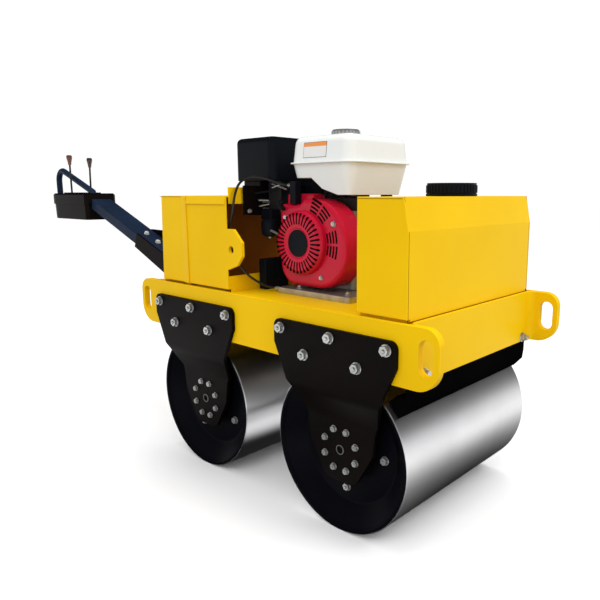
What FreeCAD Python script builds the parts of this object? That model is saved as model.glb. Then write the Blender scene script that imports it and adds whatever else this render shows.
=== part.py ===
"""Walk-behind double-drum roller: +X forward, +Y to its left, +Z up, millimetres."""
import FreeCAD, Part
import math
import os

import Sketcher
from FreeCAD import Placement, Rotation, Vector

doc = FreeCAD.newDocument("double_drum_roller")
sheet = doc.addObject("Spreadsheet::Sheet", "sizes")

# Name, value in millimetres or degrees, what it is. X is counted from the middle between the
# axles, Y from the machine's centre plane and Z from the ground, unless a heading or a line says
# otherwise. What stands on the deck is counted from the deck.
DIMENSIONS = [
    # Overall
    ("handle_reach", 1830, "middle of the axles to the rear of the console"),
    ("lug_reach", 582, "middle of the axles to a lug's tip"),
    ("wheelbase", 567, "front axle to rear axle"),
    ("overrun", 1, "how far one shape runs on past a face where it cuts or joins another"),
    # Drums
    ("drum_radius", 213, "outside of a drum shell"),
    ("drum_inset", 18, "end of a drum shell inside the side beams' outer faces"),
    ("shell_wall", 10, "wall of a drum shell"),
    ("dish_lip", 6, "shell's end to the start of the dished end"),
    ("dish_depth", 46, "shell's end to the flat of the dished end"),
    ("dish_flat_radius", 152, "flat of the dished end"),
    ("dish_plate", 8, "plate of the dished end"),
    ("drum_boss_radius", 62, "bearing boss in the drum"),
    ("drum_boss_length", 70, "bearing boss in the drum"),
    # Axles
    ("stub_radius", 25, "stub axle"),
    ("stub_fit", 0.05, "running clearance round a stub axle"),
    ("stub_reach", 60, "stub axle inside the drum boss"),
    ("hub_flange_radius", 72, "bearing flange on a support plate"),
    ("hub_flange", 12, "thickness of the bearing flange"),
    ("hub_collar_radius", 40, "collar between flange and drum"),
    ("hub_collar_gap", 3, "collar to the drum's dished end"),
    # Support plates
    ("support_plate", 12, "thickness of a support plate"),
    ("support_half", 196, "axle to the upper side edge"),
    ("support_top", 531, "height of the top edge"),
    ("support_corner", 20, "radius of the top corners"),
    ("support_shoulder", 61, "top edge down to where the sides start to lean in"),
    ("waist_gap", 6.4, "plate's waist to the inside of the drum shell"),
    ("waist_angle", 44.2, "the waist above the axle, degrees"),
    ("leg_half", 112, "axle to the side of the leg"),
    ("leg_rise", 72, "axle up to that point"),
    ("knee_half", 103, "axle to the side of the leg beside the axle"),
    ("knee_rise", 9, "axle up to that point"),
    ("toe_half", 48, "axle to the end of the bottom edge"),
    ("toe_drop", 86, "axle down to the bottom edge"),
    ("toe_corner", 38, "radius of the bottom corners"),
    ("joggle", 40, "how far the leg is set in"),
    ("joggle_drop", 41, "top of the shell's inside down to the joggle"),
    ("joggle_height", 75, "height of the joggle"),
    # Frame
    ("frame_width", 624, "over the outer faces of the side beams"),
    ("beam_plate", 12, "thickness of a side beam"),
    ("beam_top", 571, "top edge of a side beam"),
    ("beam_bottom", 429, "bottom edge of a side beam"),
    ("lug_top_radius", 38, "upper round of a lug"),
    ("lug_bottom_radius", 58, "lower round of a lug"),
    ("slot_x", 549, "middle of a lug slot"),
    ("slot_z", 505, "middle of a lug slot"),
    ("slot_width", 38, "lug slot"),
    ("slot_height", 80, "lug slot"),
    ("slot_round", 18.5, "radius of its ends"),
    ("panel_reach", 499.5, "outer face of an end panel"),
    ("panel_plate", 8, "thickness of an end panel"),
    ("panel_bend", 28, "outer radius of its bends"),
    ("deck_drop", 4, "beam's top edge down to the deck's top"),
    ("deck_plate", 8, "thickness of the deck"),
    ("member_x", 105, "middle of a cross member"),
    ("member_plate", 12, "thickness of a cross member"),
    ("member_bottom", 441, "bottom edge of a cross member"),
    ("exciter_radius", 50, "vibrator tube between the beams"),
    ("exciter_z", 492, "vibrator tube"),
    ("exciter_flange_radius", 62, "end flange of the vibrator tube"),
    ("exciter_flange", 12, "end flange of the vibrator tube"),
    # Tanks and cabinet on the deck
    ("cover_inset", 17, "side sheets inside the side beams' outer faces"),
    ("cover_rise", 272, "deck to the top of tanks and cabinet"),
    ("sheet", 4, "sheet of tanks and cabinet"),
    ("side_gap", 9, "gap under a side sheet"),
    ("side_inset", 12, "foot of a tank behind its side sheet"),
    ("tank_rear_x", 344, "rear wall of the front tank"),
    ("tank_foot_x", 487, "front wall at the deck"),
    ("tank_knee_x", 485, "front wall at the bend"),
    ("tank_knee_drop", 73, "top down to the bend"),
    ("tank_top_x", 471, "front wall at the top"),
    ("filler_x", 406, "middle of the filler"),
    ("filler_radius", 50, "filler opening"),
    ("filler_cap_radius", 64, "filler cap"),
    ("filler_cap_height", 33, "filler cap above the tank"),
    ("rear_tank_front_x", -326, "front wall of the rear tank"),
    ("rear_tank_foot_x", -473, "rear wall at the deck"),
    ("rear_tank_top_x", -463, "rear wall at the top"),
    ("cabinet_x", -136, "front edge of the cabinet"),
    ("cabinet_lip_rise", 24, "cabinet's front flange above its top"),
    ("cabinet_lip_drop", 22, "front flange below its top"),
    ("cabinet_sill_rise", 46, "deck to the top of the cabinet's lower flange"),
    ("ear_x", -118, "eye of a lifting ear"),
    ("ear_rise", 123, "deck to the eye of a lifting ear"),
    ("ear_half", 58, "eye to the top or bottom of a lifting ear"),
    ("ear_hole", 11, "radius of the eye"),
    ("ear_nose_x", -70, "front edge of a lifting ear"),
    ("ear_brow", 36, "length and height of its upper slope"),
    ("ear_chin", 23, "length of its lower slope"),
    ("ear_chin_foot", 15, "bottom of the ear to the foot of that slope"),
    ("ear_chin_top", 42, "bottom of the ear to the top of that slope"),
    ("ear_doubler", 6, "plate behind the ear's sheet"),
    ("ear_doubler_length", 40, "how far that plate runs back from the cabinet's edge"),
    # Engine: X and Z are counted from the crankshaft, Y from the machine's centre plane
    ("mount_height", 16, "engine mount on the deck"),
    ("mount_rear", 92, "rear edge of the engine mount"),
    ("mount_front", 178, "front edge of the engine mount"),
    ("mount_right_y", -195, "right edge of the engine mount"),
    ("mount_left_y", 110, "left edge of the engine mount"),
    ("crank_x", 57, "crankshaft in front of the middle of the axles"),
    ("crank_rise", 130, "engine mount to the crankshaft"),
    ("case_rear", 105, "rear wall of the crankcase"),
    ("case_front", 120, "front wall of the crankcase"),
    ("case_half", 105, "half the crankcase along the shaft"),
    ("case_rise", 87, "top of the crankcase"),
    ("case_corner", 18, "upright corners of the crankcase"),
    ("head_reach", 180, "end of the cylinder head"),
    ("head_gap", 14, "case to the cylinder head"),
    ("head_tilt", 25, "cylinder above level, degrees"),
    ("head_width", 130, "cylinder head across"),
    ("shroud_rear", 94, "rear side of the fan housing"),
    ("shroud_front", 157, "front side of the fan housing"),
    ("shroud_rise", 119, "top of the fan housing"),
    ("shroud_shoulder", 104, "top of its rear shoulder"),
    ("shroud_step", 17, "rear end of the slope up from the shoulder"),
    ("shroud_drop", 121, "bottom of the fan housing"),
    ("shroud_face_y", -185, "face of the fan housing"),
    ("shroud_corner", 14, "corners of the shoulder"),
    ("shroud_round", 124, "upper front round of the fan housing"),
    ("shroud_low_round", 100, "lower front round of the fan housing"),
    ("shroud_rear_round", 60, "lower rear round of the fan housing"),
    ("recoil_radius", 88, "starter cover"),
    ("recoil_top_radius", 80, "starter cover at its face"),
    ("recoil_depth", 23, "starter cover before the fan housing"),
    ("shaft_radius", 12.5, "output shaft"),
    ("shaft_reach", 83, "output shaft out of the crankcase"),
    ("pulley_radius", 62, "clutch pulley"),
    ("pulley_gap", 27, "crankcase to the clutch pulley"),
    ("pulley_width", 50, "clutch pulley"),
    ("fuel_rear", 61, "fuel tank at its seam"),
    ("fuel_front", 165, "fuel tank at its seam"),
    ("fuel_right_y", -178, "fuel tank at its seam"),
    ("fuel_left_y", 86, "fuel tank at its seam"),
    ("fuel_rise", 129, "bottom of the fuel tank"),
    ("fuel_height", 155, "fuel tank"),
    ("fuel_corner", 36, "fuel tank's upright corners"),
    ("fuel_crown", 24, "round of the fuel tank's top edge"),
    ("fuel_lean", 7, "lean of the upper sides, degrees"),
    ("fuel_pan_lean", 14, "lean of the lower sides, degrees"),
    ("fuel_pan", 84, "bottom of the fuel tank to its seam flange"),
    ("fuel_shelf", 78, "raised rear of the tank's bottom, along"),
    ("fuel_shelf_rise", 45, "raised rear of the tank's bottom"),
    ("fuel_slope", 112, "rear of the tank to the foot of its steep slope"),
    ("fuel_slope_rise", 16, "foot of the steep slope over the level bottom"),
    ("fuel_level", 164, "rear of the tank to its level bottom"),
    ("fuel_flange", 8, "seam flange beyond the tank"),
    ("fuel_flange_thick", 4, "seam flange"),
    ("fuel_cap_front", 43, "middle of the fuel cap"),
    ("fuel_cap_y", -57, "middle of the fuel cap"),
    ("fuel_cap_radius", 40, "fuel cap"),
    ("fuel_cap_height", 20, "fuel cap"),
    ("tank_foot", 24, "side of a foot under the fuel tank"),
    ("tank_foot_inset", 45, "end of the tank to the middle of a foot"),
    ("tank_foot_right_y", -72, "middle of a right foot"),
    ("tank_foot_left_y", 30, "middle of a left foot"),
    ("air_rear", 286, "rear of the air cleaner"),
    ("air_front", 117, "its front, also behind the crankshaft"),
    ("air_right_y", -185, "air cleaner"),
    ("air_left_y", -10, "air cleaner"),
    ("air_rise", 169, "bottom of the air cleaner"),
    ("air_height", 122, "air cleaner"),
    ("air_corner", 22, "air cleaner's upright corners"),
    ("air_crown", 16, "round of the air cleaner's top edge"),
    ("muffler_right_y", 6, "muffler"),
    ("muffler_left_y", 126, "muffler"),
    ("muffler_rear", 279, "rear of the muffler"),
    ("muffler_front", 119, "its front, also behind the crankshaft"),
    ("muffler_rise", 155, "bottom of the muffler"),
    ("muffler_height", 92, "muffler"),
    ("muffler_round", 20, "muffler's upright edges"),
    ("muffler_crown", 10, "round of the muffler's top edge"),
    ("exhaust_radius", 16, "exhaust pipe"),
    ("exhaust_inset", 34, "muffler's front to the exhaust pipe"),
    ("exhaust_offset", 36, "muffler's right side to the exhaust pipe"),
    ("plate_rear", 187, "rear face of the control plate"),
    ("plate_sheet", 3, "control plate"),
    ("plate_right_y", -238, "control plate"),
    ("plate_left_y", -66, "control plate"),
    ("plate_rise", 73, "bottom of the control plate"),
    ("plate_height", 82, "control plate"),
    ("carb_front", 131, "front of the carburettor"),
    ("carb_right_y", -142, "right side of the carburettor"),
    ("carb_rise", 77, "bottom of the carburettor"),
    ("bowl_radius", 15, "float bowl"),
    ("bowl_height", 48, "float bowl"),
    ("relay_rear", 183, "rear of the black box at the engine's foot"),
    ("relay_length", 29, "black box"),
    ("relay_right_y", -188, "black box"),
    ("relay_left_y", -96, "black box"),
    ("relay_height", 90, "black box on the deck"),
    ("throttle_rear", 49, "rear of the throttle block on the fan housing"),
    ("throttle_height", 62, "throttle block"),
    ("throttle_thick", 22, "throttle block"),
    ("cable_radius", 3.5, "throttle cable"),
    ("guard_right_y", 115, "open face of the belt guard"),
    ("guard_left_y", 198, "outer face of the belt guard"),
    ("guard_rear", 107, "rear of the belt guard"),
    ("guard_front", 99, "front of the belt guard"),
    ("guard_rise", 89, "top of the belt guard"),
    ("guard_round", 60, "upper corners of the belt guard"),
    ("guard_sheet", 3, "sheet of the belt guard"),
    # Scrapers: a blade's tip and rear edge are found by their angle above the axle
    ("scraper_inset", 22, "end of a scraper inside the side beams' outer faces"),
    ("scraper_web", 8, "web bolted behind the end panel"),
    ("scraper_web_top", 475, "top of that web"),
    ("scraper_gap", 11, "scraper to the drum shell"),
    ("scraper_tip_angle", 36, "tip of the blade, degrees"),
    ("scraper_back_angle", 47, "rear edge of the blade, degrees"),
    ("blade_top", 397, "top of the blade"),
    ("blade_back", 18, "rear edge to the start of the blade's top"),
    ("blade_back_drop", 3, "top of the blade down to that point"),
    ("blade_front", 27, "height of the blade's front"),
    ("blade_front_gap", 3, "web to the blade's front"),
    # Handle: lengths and heights of arm and bracket are counted along the arm from the hinge
    ("pivot_reach", 50.5, "end panel to the hinge"),
    ("pivot_z", 458, "hinge above the ground"),
    ("pivot_radius", 12, "hinge pin"),
    ("pivot_fit", 0.1, "running clearance round the hinge pin"),
    ("pin_end", 6, "pin beyond an ear of the hinge"),
    ("handle_tilt", 20.5, "handle above level, degrees"),
    ("cheek_gap", 1, "between an ear of the hinge and the bracket"),
    ("cheek_plate", 10, "an ear of the hinge"),
    ("cheek_round", 30, "hinge to the edges of an ear"),
    ("cheek_corner", 28, "corners of an ear"),
    ("arm_width", 92, "handle arm"),
    ("arm_depth", 43, "handle arm"),
    ("arm_start", 70, "hinge to the arm's front end"),
    ("arm_overrun", 30, "arm beyond the console's front wall before it is trimmed"),
    ("bracket_plate", 8, "plate of the bracket"),
    ("bracket_length", 558, "hinge to the bracket's rear end"),
    ("bracket_end", 34, "hinge to the bracket's front end"),
    ("bracket_corner", 20, "corners of that end"),
    ("bracket_rise", 10, "bracket sides above the arm"),
    ("bracket_belly", 48, "hinge line to the bracket's lowest edge"),
    ("bracket_belly_reach", 120, "hinge to that point"),
    ("lock_rear", 614, "hinge to the rear of the lock plate on the left side"),
    ("lock_front", 503, "hinge to the lock plate's highest corner"),
    ("lock_rise", 39, "lock plate above the arm"),
    # Console: heights are counted from the arm's middle where it meets the front wall
    ("console_length", 373, "over the console's lid"),
    ("console_half", 75, "half the width of the console"),
    ("console_rear_half", 60, "half the width of its rear wall"),
    ("console_rear_cut", 58, "length of its rear corner cuts"),
    ("console_front_cut", 13, "its front corner cuts"),
    ("console_rise", 48.9, "top of the console's lid"),
    ("console_bevel", 7, "bevel round the lid"),
    ("lid_height", 51, "height of the lid"),
    ("lid_plate", 6.5, "top of the lid"),
    ("console_depth", 69, "console below its lid"),
    ("console_step", 4, "body of the console inside its lid"),
    ("console_lean", 20, "lean of its rear wall from rim to bottom"),
    ("console_sheet", 3, "walls of the console"),
    ("gate_rear", 130, "console's rear to the lever gate"),
    ("gate_length", 152, "lever gate"),
    ("gate_right_y", -63, "lever gate"),
    ("gate_left_y", 46, "lever gate"),
    ("gate_thick", 4, "lever gate"),
    ("loop_tube", 13.5, "radius of the handle loop's tube"),
    ("loop_y", -33, "plane of the handle loop"),
    ("loop_rear", 19, "console's rear to the loop's rear leg"),
    ("loop_rise", 126, "lid to the corner of the handle loop"),
    ("loop_slope", 19.1, "fall of the handle loop's upper run, degrees"),
    ("loop_bend", 48, "bend of the handle loop"),
    ("loop_root", 20, "loop below the lid before it is trimmed"),
    ("loop_overrun", 60, "loop beyond the console's front wall before it is trimmed"),
    ("lever_reach", 212, "console's rear to the levers"),
    ("lever_slot", 50, "slot of a lever"),
    ("lever_slot_width", 13, "slot of a lever"),
    ("lever_radius", 4.5, "lever rod"),
    ("knob_height", 45, "lever knob"),
    ("knob_top_radius", 13, "lever knob"),
    ("knob_foot_radius", 7, "lever knob"),
    ("travel_y", -61, "travel lever"),
    ("travel_rise", 175, "lid to the top of the travel lever"),
    ("throttle_lever_y", 28, "throttle lever"),
    ("throttle_lever_rise", 166, "lid to the top of the throttle lever"),
    ("throttle_lever_lean", 3, "lean of the throttle lever forwards, degrees"),
]


class Size:
    """A number together with the sheet expression that gives it."""

    def __init__(self, value, text):
        self.value = value
        self.text = text

    def __add__(self, other):
        other = size(other)
        return Size(self.value + other.value, f"({self.text} + {other.text})")

    def __sub__(self, other):
        other = size(other)
        return Size(self.value - other.value, f"({self.text} - {other.text})")

    def __mul__(self, other):
        other = size(other)
        return Size(self.value * other.value, f"({self.text} * {other.text})")

    def __truediv__(self, other):
        other = size(other)
        return Size(self.value / other.value, f"({self.text} / {other.text})")

    def __radd__(self, other):
        return size(other) + self

    def __rsub__(self, other):
        return size(other) - self

    def __rmul__(self, other):
        return size(other) * self

    def __neg__(self):
        return Size(-self.value, f"(-1 * {self.text})")


def size(number):
    """A Size from a plain number, or the Size itself."""
    if isinstance(number, Size):
        return number
    return Size(float(number), f"({float(number)!r})")


def sine(angle):
    """Sine of an angle in degrees."""
    return Size(math.sin(math.radians(angle.value)), f"sin({angle.text} * 1 deg)")


def cosine(angle):
    """Cosine of an angle in degrees."""
    return Size(math.cos(math.radians(angle.value)), f"cos({angle.text} * 1 deg)")


class Sheet:
    """The named sizes of the sheet, one attribute each."""


s = Sheet()
for row, (name, value, meaning) in enumerate(DIMENSIONS, start=1):
    sheet.set(f"A{row}", meaning)
    sheet.set(f"B{row}", str(value))
    sheet.setAlias(f"B{row}", name)
    setattr(s, name, Size(float(value), f"sizes.{name}"))
doc.recompute()

pieces = []


def bind(thing, prop, amount):
    """Tie one property to the sheet."""
    thing.setExpression(prop, size(amount).text)


def piece(thing, label):
    """Name a finished sub-part and put it on the list to write."""
    thing.Label = label
    pieces.append(thing)
    return thing


# ---------------------------------------------------------------- shapes

AXIS_OF = {"XY_Plane": "z", "XZ_Plane": "y", "YZ_Plane": "x"}


def origin_plane(body, role):
    """The body's own origin plane of that role."""
    return next(item for item in body.Origin.OriginFeatures if item.Role == role)


def place(thing, x=0, y=0, z=0):
    """Tie a thing's position to the sheet."""
    for axis, amount in (("x", x), ("y", y), ("z", z)):
        bind(thing, f"Placement.Base.{axis}", amount)


def name_constraint(sketch, constraint, name, amount):
    """Add one dimension to a sketch and tie it to the sheet."""
    index = sketch.addConstraint(constraint)
    sketch.renameConstraint(index, name)
    sketch.setExpression(f"Constraints.{name}", amount.text)


def draw_loop(sketch, key, corners):
    """Draw one closed loop: each corner is (across, up) or (across, up, radius)."""
    sizes = [tuple(size(number) for number in corner) for corner in corners]
    points = [Vector(corner[0].value, corner[1].value, 0) for corner in sizes]
    radii = [corner[2] if len(corner) == 3 else None for corner in sizes]
    count = len(points)
    trims = []
    for index, radius in enumerate(radii):
        into = (points[index - 1] - points[index]).normalize()
        out = (points[(index + 1) % count] - points[index]).normalize()
        half = into.getAngle(out) / 2
        trims.append(0.0 if radius is None else radius.value / math.tan(half))
    lines = []
    for index in range(count):
        follow = (index + 1) % count
        along = (points[follow] - points[index]).normalize()
        start = points[index] + along * trims[index]
        end = points[follow] - along * trims[follow]
        lines.append(sketch.addGeometry(Part.LineSegment(start, end)))
    for index, radius in enumerate(radii):
        before = lines[index - 1]
        after = lines[index]
        if radius is None:
            sketch.addConstraint(Sketcher.Constraint("Coincident", before, 2, after, 1))
            mark = after
        else:
            into = (points[index - 1] - points[index]).normalize()
            out = (points[(index + 1) % count] - points[index]).normalize()
            bisector = (into + out).normalize()
            reach = radius.value / math.sin(into.getAngle(out) / 2)
            centre = points[index] + bisector * reach
            first = points[index] + into * trims[index] - centre
            last = points[index] + out * trims[index] - centre
            turns_left = (-into).cross(out).z > 0
            if not turns_left:
                first, last = last, first
            angles = [math.atan2(end.y, end.x) for end in (first, last)]
            circle = Part.Circle(centre, Vector(0, 0, 1), radius.value)
            arc = sketch.addGeometry(Part.ArcOfCircle(circle, *angles))
            ends = (1, 2) if turns_left else (2, 1)
            sketch.addConstraint(Sketcher.Constraint("Tangent", before, 2, arc, ends[0]))
            sketch.addConstraint(Sketcher.Constraint("Tangent", arc, ends[1], after, 1))
            limit = Sketcher.Constraint("Radius", arc, radius.value)
            name_constraint(sketch, limit, f"{key}_r{index}", radius)
            mark = sketch.addGeometry(Part.Point(points[index]), True)
            sketch.addConstraint(Sketcher.Constraint("PointOnObject", mark, 1, before))
            sketch.addConstraint(Sketcher.Constraint("PointOnObject", mark, 1, after))
        for kind, axis, amount in (("DistanceX", "u", sizes[index][0]),
                                   ("DistanceY", "v", sizes[index][1])):
            limit = Sketcher.Constraint(kind, -1, 1, mark, 1, amount.value)
            name_constraint(sketch, limit, f"{key}_{axis}{index}", amount)


def draw_circle(sketch, key, across, up, radius):
    """Draw one circle in a sketch."""
    across, up, radius = size(across), size(up), size(radius)
    centre = Vector(across.value, up.value, 0)
    ring = sketch.addGeometry(Part.Circle(centre, Vector(0, 0, 1), radius.value))
    for kind, axis, amount in (("DistanceX", "u", across), ("DistanceY", "v", up)):
        limit = Sketcher.Constraint(kind, -1, 1, ring, 3, amount.value)
        name_constraint(sketch, limit, f"{key}_{axis}", amount)
    name_constraint(sketch, Sketcher.Constraint("Radius", ring, radius.value), f"{key}_r", radius)


def sketch_on(body, role, outline, holes=(), rounds=()):
    """A sketch on an origin plane: an outline, inner loops and round holes."""
    sketch = body.newObject("Sketcher::SketchObject", body.Name + "_sketch")
    sketch.AttachmentSupport = [(origin_plane(body, role), "")]
    sketch.MapMode = "FlatFace"
    if outline:
        draw_loop(sketch, "edge", outline)
    for number, hole in enumerate(holes):
        draw_loop(sketch, f"hole{number}", hole)
    for number, (across, up, radius) in enumerate(rounds):
        draw_circle(sketch, f"round{number}", across, up, radius)
    return sketch


def padded(name, role, outline, start, length, holes=(), rounds=(), lean=None, down=False):
    """A body: an outline on an origin plane, padded from start along the plane's axis."""
    body = doc.addObject("PartDesign::Body", name)
    sketch = sketch_on(body, role, outline, holes, rounds)
    pad = body.newObject("PartDesign::Pad", name + "_pad")
    pad.Profile = sketch
    pad.Reversed = role == "XZ_Plane" or down
    bind(pad, "Length", length)
    if lean is not None:
        bind(pad, "TaperAngle", lean)
    place(body, **{AXIS_OF[role]: start})
    return body


def finish_edges(body, kind, amount, chosen):
    """Round ("Fillet") or bevel ("Chamfer") a body's chosen edges."""
    doc.recompute()
    base = body.Tip
    edges = [f"Edge{number}" for number, edge in enumerate(base.Shape.Edges, start=1)
             if chosen(edge)]
    dressed = body.newObject(f"PartDesign::{kind}", f"{body.Name}_{kind.lower()}")
    dressed.Base = (base, edges)
    bind(dressed, "Radius" if kind == "Fillet" else "Size", amount)
    body.Tip = dressed
    return body


def at_level(axis, level):
    """Picks the edges that lie wholly at one level of an axis, in the body's own frame."""
    def chosen(edge):
        box = edge.BoundBox
        low, high = getattr(box, f"{axis}Min"), getattr(box, f"{axis}Max")
        return abs(low - level) < 0.01 and abs(high - level) < 0.01
    return chosen


def turned(name, role, outline, x=0, y=0, z=0):
    """A body: a half section turned about Y (drawn as Y, radius) or Z (drawn as radius, Z)."""
    body = doc.addObject("PartDesign::Body", name)
    sketch = sketch_on(body, role, outline)
    turn = body.newObject("PartDesign::Revolution", name + "_turn")
    turn.Profile = sketch
    turn.ReferenceAxis = (sketch, ["H_Axis" if role == "YZ_Plane" else "V_Axis"])
    turn.Angle = 360
    place(body, x, y, z)
    return body


def block(name, x, y, z, length, width, height):
    """A Part box from its low corner."""
    box = doc.addObject("Part::Box", name)
    for prop, amount in (("Length", length), ("Width", width), ("Height", height)):
        bind(box, prop, amount)
    place(box, x, y, z)
    return box


def rod(name, x, y, z, radius, length, axis="z"):
    """A Part cylinder from the middle of its low end, along an axis."""
    cylinder = doc.addObject("Part::Cylinder", name)
    bind(cylinder, "Radius", radius)
    bind(cylinder, "Height", length)
    turns = {"x": Rotation(Vector(0, 1, 0), 90), "y": Rotation(Vector(1, 0, 0), -90), "z": Rotation()}
    cylinder.Placement = Placement(Vector(), turns[axis])
    place(cylinder, x, y, z)
    return cylinder


def joined(name, *parts):
    """The parts as one solid."""
    fuse = doc.addObject("Part::MultiFuse", name)
    fuse.Shapes = list(parts)
    fuse.Refine = True
    return fuse


def cut(name, base, *tools):
    """The base without the tools."""
    result = doc.addObject("Part::Cut", name)
    result.Base = base
    result.Tool = tools[0] if len(tools) == 1 else joined(name + "_tools", *tools)
    return result


def shared(name, first, second):
    """What two parts share."""
    common = doc.addObject("Part::Common", name)
    common.Base = first
    common.Tool = second
    return common


def grouped(name, *parts):
    """Like solids that don't touch, in one node."""
    compound = doc.addObject("Part::Compound", name)
    compound.Links = list(parts)
    return compound


def ends_of(half, plate, sign):
    """Low Y of a plate whose outer face is at half, on the side of that sign."""
    return half - plate if sign > 0 else -half


BEND_SHARE = 0.45  # part of a run that an arc of a cable may take at each end


def tube(name, points, radius, bend=None):
    """A round bar along straight runs joined by tangent arcs.

    Each arc has the radius bend. Without it an arc is as large as the shorter of its two runs
    allows, and the radii are printed.
    """
    vectors = [Vector(*(size(number).value for number in point)) for point in points]
    edges = []
    radii = []
    start = vectors[0]
    for before, here, after in zip(vectors, vectors[1:], vectors[2:]):
        into = (before - here).normalize()
        out = (after - here).normalize()
        half = into.getAngle(out) / 2
        reach = min((before - here).Length, (after - here).Length) * BEND_SHARE
        if bend is not None:
            reach = bend.value / math.tan(half)
        arc_radius = reach * math.tan(half)
        radii.append(round(arc_radius))
        first = here + into * reach
        last = here + out * reach
        centre = here + (into + out).normalize() * (arc_radius / math.sin(half))
        middle = centre + (here - centre).normalize() * arc_radius
        edges.append(Part.LineSegment(start, first).toShape())
        edges.append(Part.Arc(first, middle, last).toShape())
        start = last
    edges.append(Part.LineSegment(start, vectors[-1]).toShape())
    path = Part.Wire(edges)
    circle = Part.Circle(vectors[0], vectors[1] - vectors[0], radius.value)
    feature = doc.addObject("Part::Feature", name)
    feature.Shape = path.makePipeShell([Part.Wire([circle.toShape()])], True, True)
    if bend is None:
        section = math.pi * radius.value ** 2
        print(f"{name}: radii {radii}, length {path.Length:.1f}, "
              f"volume over section {feature.Shape.Volume / section:.1f}")
    return feature


# ---------------------------------------------------------------- places

mid = (s.handle_reach - s.lug_reach) / 2
frame_half = s.frame_width / 2
beam_inner = frame_half - s.beam_plate
cover_half = frame_half - s.cover_inset
drum_half = frame_half - s.drum_inset
shell_inside = s.drum_radius - s.shell_wall
deck_top = s.beam_top - s.deck_drop
cover_top = deck_top + s.cover_rise
SIDES = {"right": -1, "left": 1}
ENDS = {"front": 1, "rear": -1}


def axle_x(end):
    """X of an axle."""
    return mid + ENDS[end] * s.wheelbase / 2


# ---------------------------------------------------------------- frame

def lug_outline():
    """A side beam from the side: a long plate with a rounded lug at each end."""
    low, high = s.beam_bottom, s.beam_top
    return [
        (mid - s.lug_reach, low, s.lug_bottom_radius),
        (mid + s.lug_reach, low, s.lug_bottom_radius),
        (mid + s.lug_reach, high, s.lug_top_radius),
        (mid - s.lug_reach, high, s.lug_top_radius),
    ]


def slot_loops():
    """The two upright slots of the lugs."""
    loops = []
    for sign in (1, -1):
        x = mid + sign * s.slot_x
        half, rise = s.slot_width / 2, s.slot_height / 2
        loops.append([
            (x - half, s.slot_z - rise, s.slot_round),
            (x + half, s.slot_z - rise, s.slot_round),
            (x + half, s.slot_z + rise, s.slot_round),
            (x - half, s.slot_z + rise, s.slot_round),
        ])
    return loops


for side, sign in SIDES.items():
    low_y = ends_of(frame_half, s.beam_plate, sign)
    beam = padded(f"{side}_beam_body", "XZ_Plane", lug_outline(), low_y, s.beam_plate, slot_loops())
    piece(beam, f"{side}_side_beam")

for end, sign in ENDS.items():
    face = mid + sign * s.panel_reach
    back = mid + sign * (s.panel_reach - s.panel_plate)
    tip = mid + sign * (s.lug_reach + s.overrun)
    inner = s.panel_bend - s.panel_plate
    plan = [
        (back, -beam_inner, s.panel_bend),
        (tip, -beam_inner),
        (tip, -beam_inner + s.panel_plate),
        (face, -beam_inner + s.panel_plate, inner),
        (face, beam_inner - s.panel_plate, inner),
        (tip, beam_inner - s.panel_plate),
        (tip, beam_inner),
        (back, beam_inner, s.panel_bend),
    ]
    height = s.beam_top - s.beam_bottom
    bent = padded(f"{end}_panel_plan", "XY_Plane", plan, s.beam_bottom, height)
    trim = padded(f"{end}_panel_side", "XZ_Plane", lug_outline(), -beam_inner, 2 * beam_inner,
                  slot_loops())
    piece(shared(f"{end}_panel_cut", bent, trim), f"{end}_end_panel")

panel_back = s.panel_reach - s.panel_plate
deck_bottom = deck_top - s.deck_plate
piece(block("deck_block", mid - panel_back, -beam_inner, deck_bottom, 2 * panel_back,
            2 * beam_inner, s.deck_plate), "deck")

members = []
for sign in (1, -1):
    members.append(block(f"member_{len(members)}", mid + sign * s.member_x - s.member_plate / 2,
                         -beam_inner, s.member_bottom, s.member_plate, 2 * beam_inner,
                         deck_bottom - s.member_bottom))
piece(grouped("members", *members), "cross_members")

exciter = [
    (-beam_inner, 0), (-beam_inner, s.exciter_flange_radius),
    (-beam_inner + s.exciter_flange, s.exciter_flange_radius),
    (-beam_inner + s.exciter_flange, s.exciter_radius),
    (beam_inner - s.exciter_flange, s.exciter_radius),
    (beam_inner - s.exciter_flange, s.exciter_flange_radius),
    (beam_inner, s.exciter_flange_radius), (beam_inner, 0),
]
exciter.reverse()
piece(turned("exciter_body", "YZ_Plane", exciter, x=mid, z=s.exciter_z), "vibrator_tube")

# ---------------------------------------------------------------- supports, axles, drums

leg_inner = frame_half - s.joggle
leg_outer = leg_inner + s.support_plate
dish_y = drum_half - s.dish_depth
toe_z = s.drum_radius - s.toe_drop
waist_radius = shell_inside - s.waist_gap
joggle_top = s.drum_radius + shell_inside - s.joggle_drop
joggle_foot = joggle_top - s.joggle_height


def support_outline(x):
    """A support plate from the side, about the axle at x."""
    half_shape = [
        (s.toe_half, toe_z, s.toe_corner),
        (s.knee_half, s.drum_radius + s.knee_rise),
        (s.leg_half, s.drum_radius + s.leg_rise),
        (waist_radius * cosine(s.waist_angle),
         s.drum_radius + waist_radius * sine(s.waist_angle)),
        (s.support_half, s.support_top - s.support_shoulder),
        (s.support_half, s.support_top, s.support_corner),
    ]
    right = [(x + corner[0],) + corner[1:] for corner in half_shape]
    left = [(x - corner[0],) + corner[1:] for corner in reversed(half_shape)]
    return right + left


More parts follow.
